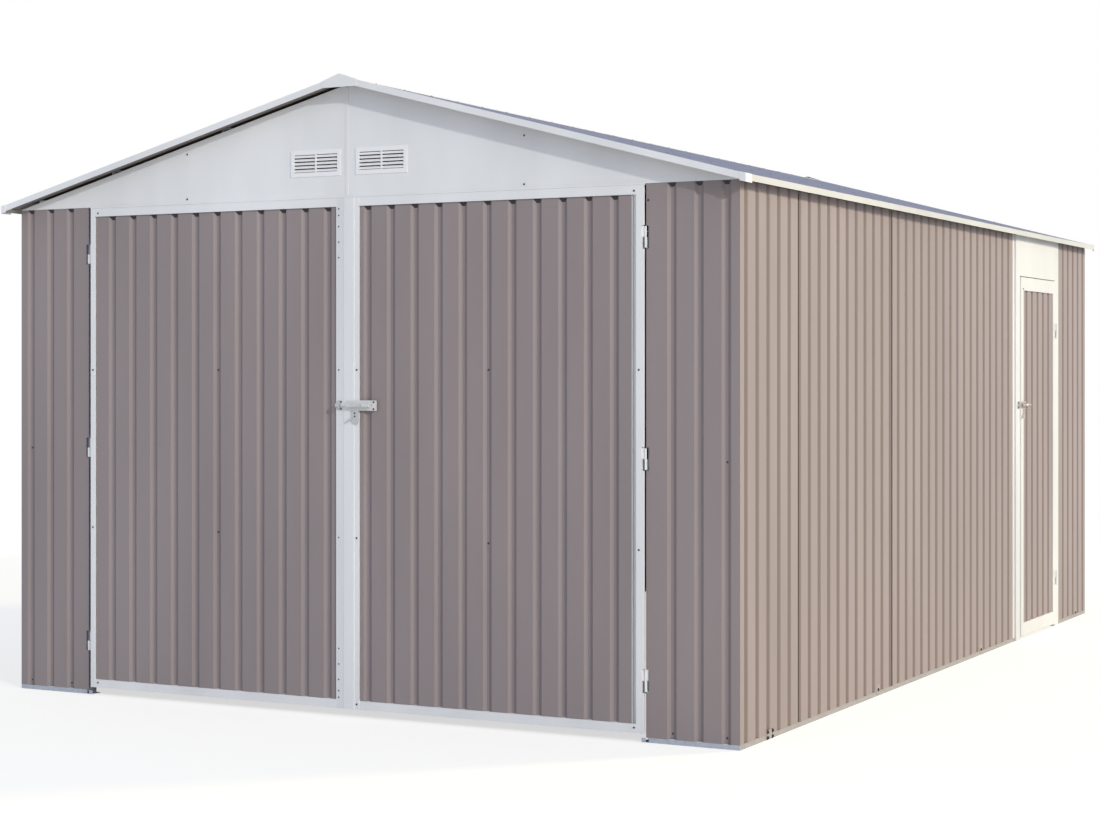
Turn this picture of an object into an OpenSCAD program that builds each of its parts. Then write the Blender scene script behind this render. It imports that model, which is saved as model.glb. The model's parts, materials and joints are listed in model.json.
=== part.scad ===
// Metal garage: ribbed steel walls on a galvanised base rail, a low gable roof,
// a pair of ribbed front doors and a walk-in door in the right-hand wall.
// Millimetres, +Z up. X runs to the right seen from the front, the front faces -Y.
// The origin is on the ground, under the middle of the building.

/* [Building] */
// Width over the outer faces of the side walls
building_w = 3378; // [3300:2:3460]
// Length over the outer faces of the end walls
building_l = 5128; // [5000:2:5250]
// Height of the wall sheets, where the gables begin
wall_h = 2082; // [2040:1:2160]
// Slope of the roof, in degrees
roof_angle = 14.85; // [12:0.05:18]
// How far the roof stands out past the side walls
eave_out = 49; // [40:1:60]
// How far the roof stands out past the end walls
verge_out = 70; // [60:1:90]
// Height of the roof's top plane above the wall sheets, at the wall face
roof_seat = 28; // [24:1:34]

/* [Sheets] */
// Spacing of the grooves in every ribbed sheet
rib_pitch = 109; // [105:0.5:112]
// Width of a groove at the face of the sheet
groove_top = 38; // [30:1:44]
// Width of the flat floor of a groove
groove_floor = 15; // [8:1:20]
// Depth of a groove
groove_d = 10; // [6:0.5:12]
// Thickness of the sheet metal as modelled
sheet_t = 1; // [0.8:0.1:1.4]

/* [Frame] */
// Size of the square posts, plates and beams
tube = 40; // [36:1:44]
// Wall of the tubes, channels and folded trims
tube_t = 2; // [1.5:0.1:2.5]
// Height of the base rail's outer lip
rail_lip = 18; // [14:1:24]
// Radius of the anchor holes in the base rail
anchor_r = 6; // [4:0.5:8]

/* [Front doors] */
// From the middle to the left edge of the doorway
doorway_left = 1317; // [1300:1:1320]
// From the middle to the right edge of the doorway
doorway_right = 1312; // [1300:1:1320]
// From the middle to the hinged edge of the left leaf
leaf_left = 1296; // [1290:1:1300]
// From the middle to the hinged edge of the right leaf
leaf_right = 1299; // [1290:1:1300]
// Gap between the two leaves
meeting_gap = 6; // [5:0.5:8]
// Height of the leaves' lower edge above the ground
leaf_bottom = 33; // [28:1:40]
// Thickness of a leaf
leaf_t = 30; // [26:1:32]
// How far the front of a leaf stands out from the wall
leaf_proud = 13; // [11:1:15]
// Width of the stiles
stile_w = 22.5; // [20:0.5:30]
// Height of the top and bottom rails of the front leaves
front_rail_h = 35; // [30:1:45]

/* [Side door] */
// Distance from the front wall to the middle of the walk-in door
side_door_s = 4080; // [4040:1:4100]
// Width of the walk-in leaf
side_leaf_w = 678; // [660:2:700]
// Height of the top edge of the walk-in leaf
side_leaf_top = 1868; // [1820:1:1900]
// Width of the stiles of the walk-in leaf
side_stile_w = 44; // [38:1:54]
// Height of the rails of the walk-in leaf
side_rail_h = 68; // [60:1:76]

/* [Vents] */
// Width of a gable vent
vent_w = 241; // [230:1:250]
// Height of a gable vent
vent_h = 108; // [100:1:120]
// Slats in each half of a vent
vent_slats = 5; // [4:1:6]

/* [Hidden] */
$fn = 32;

taupe = [0.56, 0.52, 0.50];
off_white = [0.86, 0.87, 0.88];
slate_blue = [0.47, 0.50, 0.57];
galvanised = [0.66, 0.68, 0.70];
zinc = [0.74, 0.75, 0.77];

eps = 0.01;
half_w = building_w / 2;
half_l = building_l / 2;

// Sheets: where the frame behind a ribbed sheet begins, measured from its face
frame_in = groove_d + sheet_t;
side_grooves = 47;
end_grooves = 31;
side_first = (building_l - (side_grooves - 1) * rib_pitch) / 2;
end_first = (building_w - (end_grooves - 1) * rib_pitch) / 2;
lap_gap = 0.2;

// Roof: u runs down the slope from the ridge, the top plane is at zero
apex_z = wall_h + roof_seat + half_w * tan(roof_angle);
roof_half_l = half_l + verge_out;
roof_u_end = (half_w + eave_out) / cos(roof_angle);
roof_grooves = 48;
roof_first = (2 * roof_half_l - (roof_grooves - 1) * rib_pitch) / 2;
ridge_gap = 3;
purlin_d = 24;
rafter_d = 36;
gable_gap = 25;
header_z = wall_h + 1;
trim_t = 1.2;
trim_h = 24;
trim_lip = 16;
trim_lap = 1.5;

// Front doors
leaf_top = wall_h - 5;
leaf_front = -half_l - leaf_proud;
meeting_x = 12;
left_leaf_w = leaf_left - meeting_x - meeting_gap / 2;
right_leaf_w = leaf_right + meeting_x - meeting_gap / 2;
post_in = 14;
post_side = 2.5;
left_meeting_w = 35;
right_meeting_w = 66;
fold_t = 1.5;
panel_in = 6;
flange_w = 21;
panel_gap = 1;
front_panel_first = 94.5;
leaf_grooves = 11;
hinge_levels = [229, 1056, 1883];
brace_levels = [717, 1388];
brace_h = 35;

// Hinges: a lower knuckle with a fixed pin, and a sleeve that turns on it
left_axis = [1303.5, leaf_front + 10];
right_axis = [1312.5, leaf_front + 8];
hinge_h = 80;
knuckle_r = 4;
pin_r = 2;
notch_w = 13;
pin_clear = 0.1;
hinge_plate_t = 2;
knuckle_gap = 1;

// Cover strip on the right leaf, over the joint between the leaves
strip_proud = 4;
strip_w = 45;
strip_flange_w = 22;
strip_x0 = meeting_gap / 2 - meeting_x;

// Front bolt
bolt_z = 1246;
bolt_rod_r = 6;
bolt_axis_y = leaf_front - strip_proud - 13;

// Walk-in door, in the right-hand wall
side_mid_y = side_door_s - half_l;
side_leaf_bottom = 15;
casing_gap = 5;
casing_proud = 8;
casing_w = 76;
casing_flange = 36;
casing_in = 57;
side_y0 = side_mid_y - side_leaf_w / 2;
side_y1 = side_mid_y + side_leaf_w / 2;
casing_y0 = side_y0 - casing_gap;
casing_y1 = side_y1 + casing_gap;
side_front_x = half_w + leaf_proud;
side_leaf_h = side_leaf_top - side_leaf_bottom;
side_leaf_grooves = 5;
side_hinge_levels = [266, 1600];
side_knuckle_r = 5;
side_axis_x = side_front_x + side_knuckle_r + 0.5;
side_axis_y = side_y1 + casing_gap / 2;
side_bolt_z = 1208;
side_bolt_axis_x = side_front_x + 13;

// Anchor holes
anchor_x = half_w - 34;
anchor_y = half_l - 124;

function roof_z(x) = apex_z - abs(x) * tan(roof_angle);

// ---------------------------------------------------------------- ribbed sheet

function groove_points(first, count) = [
    for (k = [0:count - 1])
        let (c = first + k * rib_pitch)
        each [
            [c - groove_top / 2, 0],
            [c - groove_floor / 2, groove_d],
            [c + groove_floor / 2, groove_d],
            [c + groove_top / 2, 0]
        ]
];

// Depth of the sheet's face at station s: sheets lap in the floor of a groove
function face_depth(s, first, count) =
    let (k = round((s - first) / rib_pitch))
    k >= 0 && k < count && abs(s - first - k * rib_pitch) < groove_floor / 2 ? groove_d : 0;

// Cross-section of one sheet from station s0 to s1. Its face is y = 0 and its
// grooves go towards +y.
module sheet_profile(s0, s1, first, count) {
    inside = [for (p = groove_points(first, count)) if (p[0] > s0 && p[0] < s1) p];
    face = concat(
        [[s0, face_depth(s0, first, count)]],
        inside,
        [[s1, face_depth(s1, first, count)]]
    );
    back = [for (i = [len(face) - 1:-1:0]) [face[i][0], face[i][1] + sheet_t]];
    polygon(concat(face, back));
}

// A run of sheets that meet at the stations in cuts
module ribbed_wall(length, first, count, cuts, height) {
    bounds = concat([0], cuts, [length]);
    for (i = [0:len(bounds) - 2]) {
        from = bounds[i] + (i == 0 ? 0 : lap_gap / 2);
        to = bounds[i + 1] - (i == len(bounds) - 2 ? 0 : lap_gap / 2);
        linear_extrude(height)
            sheet_profile(from, to, first, count);
    }
}

// ------------------------------------------------------------- frame members

module square_tube(length, size = tube) {
    linear_extrude(length)
        difference() {
            square(size);
            translate([tube_t, tube_t])
                square(size - 2 * tube_t);
        }
}

module tube_along_x(length, depth = tube, height = tube) {
    rotate([90, 0, 90])
        linear_extrude(length)
            difference() {
                square([depth, height]);
                translate([tube_t, tube_t])
                    square([depth - 2 * tube_t, height - 2 * tube_t]);
            }
}

module tube_along_y(length, width = tube, height = tube) {
    translate([0, length, 0])
        rotate([90, 0, 0])
            linear_extrude(length)
                difference() {
                    square([width, height]);
                    translate([tube_t, tube_t])
                        square([width - 2 * tube_t, height - 2 * tube_t]);
                }
}

// Base rail: a folded angle with its lip outside
rail_w = frame_in + tube + 3;

module end_rail(x0, x1, lip_x0, lip_x1) {
    translate([x0, -half_l, 0])
        cube([x1 - x0, rail_w, tube_t]);
    translate([lip_x0, -half_l, 0])
        cube([lip_x1 - lip_x0, tube_t, rail_lip]);
}

// Draws its children for the right-hand side, or mirrored for the left
module on_side(right) {
    mirror([right ? 0 : 1, 0, 0])
        children();
}

// The rail ends in a foot that stands out under the leaf, beyond a notch
module front_rail(door_x) {
    foot_x = door_x - 19;
    end_rail(foot_x, half_w - rail_w, door_x + 11, half_w);
    translate([foot_x, -half_l, 0])
        cube([16, tube_t, rail_lip - 2]);
}

module side_rail(y0, y1) {
    difference() {
        union() {
            translate([half_w - rail_w, y0, 0])
                cube([rail_w, y1 - y0, tube_t]);
            translate([half_w - tube_t, y0, 0])
                cube([tube_t, y1 - y0, rail_lip]);
        }
        for (y = [-anchor_y, anchor_y])
            translate([anchor_x, y, -1])
                cylinder(r = anchor_r, h = tube_t + 2);
    }
}

module base_rail_front() {
    color(galvanised) {
        on_side(true)
            front_rail(doorway_right);
        on_side(false)
            front_rail(doorway_left);
    }
}

module base_rail_back() {
    color(galvanised)
        mirror([0, 1, 0])
            end_rail(rail_w - half_w, half_w - rail_w, -half_w, half_w);
}

module base_rail_left() {
    color(galvanised)
        mirror([1, 0, 0])
            side_rail(tube_t - half_l, half_l - tube_t);
}

module base_rail_right() {
    color(galvanised) {
        side_rail(tube_t - half_l, casing_y0 - fold_t);
        side_rail(casing_y1 + fold_t, half_l - tube_t);
    }
}

module corner_posts() {
    color(galvanised)
        for (sx = [0, 1], sy = [0, 1])
            mirror([sx, 0, 0])
                mirror([0, sy, 0])
                    translate([half_w - frame_in, half_l - frame_in, tube_t])
                        linear_extrude(wall_h - tube - tube_t)
                            polygon([
                                [0, 0], [-tube, 0], [-tube, -tube_t],
                                [-tube_t, -tube_t], [-tube_t, -tube], [0, -tube]
                            ]);
}

// Lower half of a hinge, with the pin. The axis is at the origin.
module fixed_knuckle(radius) {
    cylinder(r = radius, h = hinge_h / 2 - knuckle_gap / 2);
    cylinder(r = pin_r, h = hinge_h);
}

// Leaf half of a hinge: the upper knuckle, bored for the pin
module sleeve_knuckle(radius) {
    translate([0, 0, hinge_h / 2 + knuckle_gap / 2])
        difference() {
            cylinder(r = radius, h = hinge_h / 2 - knuckle_gap / 2);
            translate([0, 0, -1])
                cylinder(r = pin_r + pin_clear, h = hinge_h);
        }
}

// A post of the front doorway, set back behind the wall sheet, and the fixed
// halves of its hinges
module front_door_post(door_x, axis) {
    face_y = -half_l + post_in;
    side_x = door_x + post_side;
    half_h = hinge_h / 2 - knuckle_gap / 2;
    translate([side_x, face_y, tube_t])
        square_tube(header_z - tube_t);
    for (z = hinge_levels)
        translate([0, 0, z - hinge_h / 2]) {
            translate([axis[0], axis[1], 0])
                fixed_knuckle(knuckle_r);
            translate([axis[0], axis[1] - hinge_plate_t / 2, 0])
                cube([side_x - axis[0], hinge_plate_t, half_h]);
            translate([side_x - hinge_plate_t, axis[1] - hinge_plate_t / 2, 0])
                cube([hinge_plate_t, face_y + tube / 2 - axis[1], half_h]);
        }
}

module front_door_posts() {
    color(galvanised) {
        on_side(true)
            front_door_post(doorway_right, right_axis);
        on_side(false)
            front_door_post(doorway_left, left_axis);
    }
}

module front_header() {
    color(galvanised)
        translate([100 - half_w, tube_t - half_l, header_z])
            tube_along_x(building_w - 200);
}

// Posts of the walk-in door: a flange on the wall, a step, a face and a lining
module side_door_post() {
    face_x = half_w + casing_proud;
    inner_x = half_w - casing_in;
    outer_y = casing_y0 - casing_w;
    flange_y = outer_y - casing_flange;
    translate([half_w - sheet_t, flange_y, rail_lip])
        cube([sheet_t, casing_flange + fold_t, wall_h - rail_lip]);
    translate([half_w, outer_y, tube_t])
        cube([casing_proud, fold_t, wall_h - tube_t]);
    translate([face_x - fold_t, outer_y, tube_t])
        cube([fold_t, casing_w, wall_h - tube_t]);
    translate([inner_x, casing_y0 - fold_t, tube_t])
        cube([face_x - inner_x, fold_t, wall_h - tube - tube_t]);
    translate([inner_x, casing_y0 - tube, tube_t])
        cube([fold_t, tube, wall_h - tube - tube_t]);
}

module side_door_posts() {
    fixed_y = side_axis_y - side_mid_y;
    color(off_white)
        translate([0, side_mid_y, 0]) {
            for (s = [0, 1])
                mirror([0, s, 0])
                    translate([0, -side_mid_y, 0])
                        side_door_post();
            for (z = side_hinge_levels) {
                translate([side_axis_x, fixed_y, z - hinge_h / 2])
                    fixed_knuckle(side_knuckle_r);
                translate([half_w + casing_proud - eps, casing_y1 - side_mid_y, z - hinge_h / 2])
                    cube([side_axis_x - half_w - casing_proud, 2, hinge_h / 2 - knuckle_gap / 2]);
                translate([half_w + casing_proud - eps, casing_y1 - side_mid_y, z - hinge_h / 2])
                    cube([hinge_plate_t, 28, hinge_h / 2 - knuckle_gap / 2]);
            }
        }
}

module side_door_transom() {
    face_x = half_w + casing_proud;
    bottom_z = side_leaf_top + casing_gap;
    color(off_white) {
        translate([face_x - fold_t, casing_y0, bottom_z])
            cube([fold_t, casing_y1 - casing_y0, wall_h - bottom_z]);
        translate([half_w - casing_in, casing_y0, bottom_z])
            cube([casing_in + casing_proud - fold_t, casing_y1 - casing_y0, fold_t]);
    }
}

// Plates on top of the posts, along the side walls and the back wall
module wall_plates() {
    inset = half_w - frame_in;
    color(galvanised) {
        for (s = [0, 1])
            mirror([s, 0, 0])
                translate([inset - tube, -half_l + frame_in, wall_h - tube])
                    tube_along_y(building_l - 2 * frame_in);
        translate([tube + lap_gap - inset, half_l - frame_in - tube, wall_h - tube])
            tube_along_x(2 * (inset - tube - lap_gap));
    }
}

// Girts half way up the walls
module wall_girts() {
    girt_z = 1030;
    inset = half_w - frame_in;
    end_y = half_l - frame_in - tube - 1;
    color(galvanised) {
        translate([-inset, -end_y, girt_z])
            tube_along_y(2 * end_y);
        translate([inset - tube, -end_y, girt_z])
            tube_along_y(casing_y0 - tube + end_y);
        translate([inset - tube, casing_y1 + tube, girt_z])
            tube_along_y(end_y - casing_y1 - tube);
        translate([tube + 1 - inset, half_l - frame_in - tube, girt_z])
            tube_along_x(2 * (inset - tube - 1));
    }
}

// --------------------------------------------------------------------- walls

// The strip of wall beside the front doors, notched round the hinges
module front_strip(door_x) {
    strip_first = end_first + (end_grooves - 3) * rib_pitch;
    notch_h = hinge_h + 4;
    difference() {
        translate([-half_w, -half_l, rail_lip])
            linear_extrude(wall_h - rail_lip)
                sheet_profile(half_w + door_x, building_w, strip_first, 3);
        for (z = hinge_levels)
            translate([door_x - 1, -half_l - 1, z - notch_h / 2])
                cube([notch_w + 1, sheet_t + 2, notch_h]);
    }
}

module front_wall_left() {
    color(taupe)
        on_side(false)
            front_strip(doorway_left);
}

module front_wall_right() {
    color(taupe)
        on_side(true)
            front_strip(doorway_right);
}

// A stretch of the right-hand wall between stations from and to
module side_stretch(from, to, cuts) {
    bounds = concat([from], cuts, [to]);
    translate([half_w, -half_l, rail_lip])
        rotate([0, 0, 90])
            linear_extrude(wall_h - rail_lip)
                for (i = [0:len(bounds) - 2]) {
                    start = bounds[i] + (i == 0 ? 0 : lap_gap / 2);
                    stop = bounds[i + 1] - (i == len(bounds) - 2 ? 0 : lap_gap / 2);
                    sheet_profile(start, stop, side_first, side_grooves);
                }
}

function lap(n) = side_first + n * rib_pitch;

module left_wall() {
    color(taupe)
        mirror([1, 0, 0])
            side_stretch(sheet_t, building_l - sheet_t, [for (n = [5, 15, 25, 35, 41]) lap(n)]);
}

module right_wall_front() {
    color(taupe)
        side_stretch(sheet_t, casing_y0 - casing_w - casing_flange + half_l,
            [for (n = [5, 15, 25]) lap(n)]);
}

module right_wall_rear() {
    color(taupe)
        side_stretch(casing_y1 + casing_w + casing_flange + half_l, building_l - sheet_t, []);
}

module back_wall() {
    color(taupe)
        mirror([0, 1, 0])
            translate([-half_w, -half_l, rail_lip])
                ribbed_wall(building_w, end_first, end_grooves,
                    [for (n = [5, 15, 25]) end_first + n * rib_pitch], wall_h - rail_lip);
}

// -------------------------------------------------------------------- gables

vent_x = 155.5;
vent_z = wall_h + 140;
vent_rim = 18;
vent_t = 3;

module gable_half() {
    bottom_z = header_z;
    top_z = roof_z(0) - gable_gap;
    foot_z = roof_z(half_w) - gable_gap;
    hole_w = vent_w - 2 * vent_rim + 2;
    hole_h = vent_h - 2 * vent_rim + 2;
    translate([0, sheet_t - half_l, 0])
        rotate([90, 0, 0])
            linear_extrude(sheet_t)
                difference() {
                    polygon([
                        [lap_gap / 2, bottom_z], [half_w, bottom_z],
                        [half_w, foot_z], [lap_gap / 2, top_z]
                    ]);
                    translate([vent_x - hole_w / 2, vent_z - hole_h / 2])
                        square([hole_w, hole_h]);
                }
}

module gable() {
    for (s = [0, 1])
        mirror([s, 0, 0])
            gable_half();
}

module front_gable() {
    color(off_white)
        gable();
}

module back_gable() {
    color(off_white)
        mirror([0, 1, 0])
            gable();
}

// A louvred vent, centred on its face, with its rim in front of y = 0
module vent() {
    slat_w = vent_w - 2 * vent_rim;
    slot_h = vent_h - 2 * vent_rim;
    slat_step = slot_h / vent_slats;
    mullion_w = 8;
    difference() {
        translate([-vent_w / 2, -vent_t, -vent_h / 2])
            cube([vent_w, vent_t, vent_h]);
        translate([-slat_w / 2, -vent_t - 1, -slot_h / 2])
            cube([slat_w, vent_t + 2, slot_h]);
    }
    translate([-mullion_w / 2, -vent_t, -slot_h / 2 - eps])
        cube([mullion_w, vent_t, slot_h + 2 * eps]);
    for (k = [0:vent_slats - 1])
        translate([-slat_w / 2 - eps, -vent_t / 2, (k + 0.5) * slat_step - slot_h / 2])
            rotate([-35, 0, 0])
                translate([0, -1, -slat_step * 0.4])
                    cube([slat_w + 2 * eps, 1.2, slat_step * 0.8]);
}

module vents() {
    for (x = [-vent_x, vent_x])
        translate([x, -half_l, vent_z])
            vent();
}

module front_vents() {
    color(off_white)
        vents();
}

module back_vents() {
    color(off_white)
        mirror([0, 1, 0])
            vents();
}

// ---------------------------------------------------------------------- roof

// Places a profile drawn in (y, height above the top plane) on the right-hand
// slope and runs it down the slope from u0 to u1
module down_slope(u0, u1) {
    translate([0, 0, apex_z])
        rotate([0, roof_angle, 0])
            translate([u0, 0, 0])
                rotate([90, 0, 90])
                    linear_extrude(u1 - u0)
                        children();
}

module roof_slope() {
    down_slope(ridge_gap, roof_u_end)
        translate([-roof_half_l, 0])
            mirror([0, 1])
                sheet_profile(0, 2 * roof_half_l, roof_first, roof_grooves);
}

module roof_right() {
    color(slate_blue)
        roof_slope();
}

module roof_left() {
    color(slate_blue)
        mirror([1, 0, 0])
            roof_slope();
}

module roof_purlins() {
    ridge_top = roof_z(tube / 2) - (frame_in + sheet_t) / cos(roof_angle);
    purlin_l = building_l - 2 * frame_in;
    color(galvanised) {
        translate([-tube / 2, -purlin_l / 2, ridge_top - tube])
            tube_along_y(purlin_l);
        for (s = [0, 1], f = [0.34, 0.67])
            mirror([s, 0, 0])
                translate([0, 0, apex_z])
                    rotate([0, roof_angle, 0])
                        translate([f * roof_u_end, -purlin_l / 2, -frame_in - purlin_d])
                            tube_along_y(purlin_l, tube, purlin_d);
    }
}

module roof_rafters() {
    from_u = tube;
    to_u = (half_w - frame_in - tube) / cos(roof_angle) - 1
        + (frame_in + purlin_d) * tan(roof_angle);
    end_y = half_l - frame_in - 1.5 * tube - 1;
    color(galvanised)
        for (s = [0, 1], y = [-end_y, -end_y / 2, 0, end_y / 2, end_y])
            mirror([s, 0, 0])
                down_slope(from_u, to_u)
                    translate([y - tube / 2, -frame_in - purlin_d - rafter_d])
                        difference() {
                            square([tube, rafter_d]);
                            translate([tube_t, tube_t])
                                square([tube - 2 * tube_t, rafter_d - 2 * tube_t]);
                        }
}

// The ridge cap lies on the sheets, the end caps cover its two ends
cap_w = 82;
cap_end_l = 50;

module ridge_cap() {
    rise = cap_w * tan(roof_angle);
    t = trim_t / cos(roof_angle);
    color(off_white)
        translate([0, roof_half_l + trim_lap - cap_end_l, apex_z])
            rotate([90, 0, 0])
                linear_extrude(2 * (roof_half_l + trim_lap - cap_end_l))
                    polygon([
                        [-cap_w, -rise], [0, 0], [cap_w, -rise],
                        [cap_w, t - rise], [0, t], [-cap_w, t - rise]
                    ]);
}

module ridge_end_cap() {
    wing_z = trim_t / cos(roof_angle) + 0.1 - cap_w * tan(roof_angle);
    peak = 9;
    skirt = 45;
    translate([0, 0, apex_z])
        rotate([90, 0, 0]) {
            linear_extrude(cap_end_l)
                polygon([
                    [-cap_w, wing_z], [0, peak - 1.6], [cap_w, wing_z],
                    [cap_w, wing_z + 1.4], [0, peak], [-cap_w, wing_z + 1.4]
                ]);
            translate([0, 0, cap_end_l])
                linear_extrude(trim_t)
                    polygon([
                        [-cap_w, -skirt], [cap_w, -skirt],
                        [cap_w, wing_z + 1.4], [0, peak], [-cap_w, wing_z + 1.4]
                    ]);
        }
}

module ridge_end_caps() {
    color(off_white)
        for (s = [0, 1])
            mirror([0, s, 0])
                translate([0, cap_end_l - roof_half_l - trim_lap, 0])
                    ridge_end_cap();
}

// Trim along a sloping end of the roof: an upright face and a lip on the sheet
module verge_trim() {
    for (s = [0, 1])
        mirror([s, 0, 0])
            down_slope(8, roof_u_end)
                polygon([
                    [-roof_half_l - trim_lap, -trim_h],
                    [-roof_half_l - trim_lap + trim_t, -trim_h],
                    [-roof_half_l - trim_lap + trim_t, 0],
                    [-roof_half_l + trim_lip, 0],
                    [-roof_half_l + trim_lip, trim_t],
                    [-roof_half_l - trim_lap, trim_t]
                ]);
}

module verge_trim_front() {
    color(off_white)
        verge_trim();
}

module verge_trim_back() {
    color(off_white)
        mirror([0, 1, 0])
            verge_trim();
}

module eave_trims() {
    edge_x = half_w + eave_out;
    run = 2 * (roof_half_l - trim_lip - 1);
    color(off_white)
        for (s = [0, 1])
            mirror([s, 0, 0])
                translate([0, run / 2, 0])
                    rotate([90, 0, 0])
                        linear_extrude(run)
                            polygon([
                                [edge_x + 0.3, roof_z(edge_x) - trim_h],
                                [edge_x + trim_lap, roof_z(edge_x) - trim_h],
                                [edge_x + trim_lap, roof_z(edge_x + trim_lap) + trim_t],
                                [edge_x - 12, roof_z(edge_x - 12) + trim_t],
                                [edge_x - 12, roof_z(edge_x - 12)],
                                [edge_x + 0.3, roof_z(edge_x + 0.3)]
                            ]);
}

// Caps where the eave trims meet the verge trims: a front, a side and a top
module eave_corner_cap() {
    x0 = half_w + 27;
    x1 = half_w + eave_out + trim_lap;
    y1 = roof_half_l + trim_lap;
    side_l = 60;
    drop = 30;
    lift = 2 * trim_t;
    bottom_z = roof_z(x1) - drop;
    translate([0, -y1, 0])
        rotate([90, 0, 0])
            linear_extrude(trim_t)
                polygon([
                    [x0, roof_z(x0) - drop], [x1 + trim_t, bottom_z],
                    [x1 + trim_t, roof_z(x1) + lift], [x0, roof_z(x0) + lift]
                ]);
    translate([x1, -y1, bottom_z])
        cube([trim_t, side_l, drop + lift]);
    translate([0, side_l - y1, 0])
        rotate([90, 0, 0])
            linear_extrude(side_l)
                polygon([
                    [x0, roof_z(x0) + trim_t + 0.1], [x1, roof_z(x1) + trim_t + 0.1],
                    [x1, roof_z(x1) + lift], [x0, roof_z(x0) + lift]
                ]);
}

module eave_corner_caps() {
    color(off_white)
        for (sx = [0, 1], sy = [0, 1])
            mirror([sx, 0, 0])
                mirror([0, sy, 0])
                    eave_corner_cap();
}

// --------------------------------------------------------------------- doors

// A folded door frame seen from its face: w wide and h high, its front at
// y = 0, open at the back, with a flange round its inner edge for the panel
module leaf_frame(w, h, left_stile, right_stile, rail) {
    inner_w = w - left_stile - right_stile;
    inner_h = h - 2 * rail;
    t = fold_t;
    flange_y = panel_in + groove_d + sheet_t;
    difference() {
        cube([w, leaf_t, h]);
        translate([left_stile, -1, rail])
            cube([inner_w, leaf_t + 2, inner_h]);
        translate([t, t, t])
            cube([left_stile - 2 * t, leaf_t, h - 2 * t]);
        translate([w - right_stile + t, t, t])
            cube([right_stile - 2 * t, leaf_t, h - 2 * t]);
        translate([t, t, t])
            cube([w - 2 * t, leaf_t, rail - 2 * t]);
        translate([t, t, h - rail + t])
            cube([w - 2 * t, leaf_t, rail - 2 * t]);
    }
    translate([left_stile - eps, flange_y, rail - eps])
        difference() {
            cube([inner_w + 2 * eps, t, inner_h + 2 * eps]);
            translate([flange_w, -1, flange_w])
                cube([inner_w - 2 * flange_w + 2 * eps, t + 2, inner_h - 2 * flange_w + 2 * eps]);
        }
}

// Rails across the back of a leaf, between its stiles
module leaf_braces(w, left_stile, right_stile, levels) {
    brace_y = panel_in + groove_d + sheet_t + fold_t;
    for (z = levels)
        translate([left_stile - eps, brace_y - eps, z - brace_h / 2])
            cube([w - left_stile - right_stile + 2 * eps, leaf_t - brace_y, brace_h]);
}

// Leaf halves of the hinges, on the leaf's outer edge at x = 0. The axis is
// at (axis_x, axis_y).
module leaf_hinges(axis_x, axis_y, radius, levels) {
    for (z = levels)
        translate([0, 0, z - hinge_h / 2]) {
            translate([axis_x, axis_y, 0])
                sleeve_knuckle(radius);
            translate([-eps, axis_y, hinge_h / 2 + knuckle_gap / 2])
                difference() {
                    cube([axis_x, hinge_plate_t, hinge_h / 2 - knuckle_gap / 2]);
                    translate([axis_x, 0, -1])
                        cylinder(r = pin_r + pin_clear, h = hinge_h);
                }
        }
}

module front_leaf_hinges(edge_x, axis) {
    translate([edge_x, 0, 0])
        leaf_hinges(axis[0] - edge_x, axis[1], knuckle_r, hinge_levels);
}

module left_door_frame() {
    color(off_white) {
        translate([-leaf_left, leaf_front, leaf_bottom]) {
            leaf_frame(left_leaf_w, leaf_top - leaf_bottom, stile_w, left_meeting_w, front_rail_h);
            leaf_braces(left_leaf_w, stile_w, left_meeting_w,
                [for (z = brace_levels) z - leaf_bottom]);
        }
        on_side(false)
            front_leaf_hinges(leaf_left, left_axis);
    }
}

module right_door_frame() {
    color(off_white) {
        translate([strip_x0, leaf_front, leaf_bottom]) {
            leaf_frame(right_leaf_w, leaf_top - leaf_bottom, right_meeting_w, stile_w, front_rail_h);
            leaf_braces(right_leaf_w, right_meeting_w, stile_w,
                [for (z = brace_levels) z - leaf_bottom]);
        }
        front_leaf_hinges(leaf_right, right_axis);
    }
}

// A ribbed panel from x0 to x1 whose first groove is at x = first
module leaf_panel(x0, x1, first, count, z0, z1) {
    translate([0, leaf_front + panel_in, z0])
        linear_extrude(z1 - z0)
            sheet_profile(x0, x1, first, count);
}

front_panel_z0 = leaf_bottom + front_rail_h + panel_gap;
front_panel_z1 = leaf_top - front_rail_h - panel_gap;

module left_door_panel() {
    inner_x = meeting_x + meeting_gap / 2 + left_meeting_w + panel_gap;
    outer_x = leaf_left - stile_w - panel_gap;
    color(taupe)
        leaf_panel(-outer_x, -inner_x, -front_panel_first - (leaf_grooves - 1) * rib_pitch,
            leaf_grooves, front_panel_z0, front_panel_z1);
}

module right_door_panel() {
    inner_x = strip_x0 + right_meeting_w + panel_gap;
    outer_x = leaf_right - stile_w - flange_w;
    color(taupe)
        leaf_panel(inner_x, outer_x, front_panel_first, leaf_grooves,
            front_panel_z0, front_panel_z1);
}

module door_cover_strip() {
    t = fold_t;
    front = -strip_proud;
    right = strip_w;
    color(off_white)
        translate([strip_x0, leaf_front, leaf_bottom])
            linear_extrude(leaf_top - leaf_bottom)
                polygon([
                    [0, 0], [0, front], [right, front], [right, -t],
                    [right + strip_flange_w, -t], [right + strip_flange_w, 0],
                    [right - t, 0], [right - t, front + t], [t, front + t], [t, 0]
                ]);
}

// ---------------------------------------------------------------- front bolt

// A bored block that carries a bolt, its axis along x through the origin
module bolt_guide(length, width, wall_y, clear) {
    difference() {
        translate([0, -width / 2, -width / 2])
            cube([length, wall_y + width / 2, width]);
        rotate([0, 90, 0])
            translate([0, 0, -1])
                cylinder(r = bolt_rod_r + clear, h = length + 2);
    }
}

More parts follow.
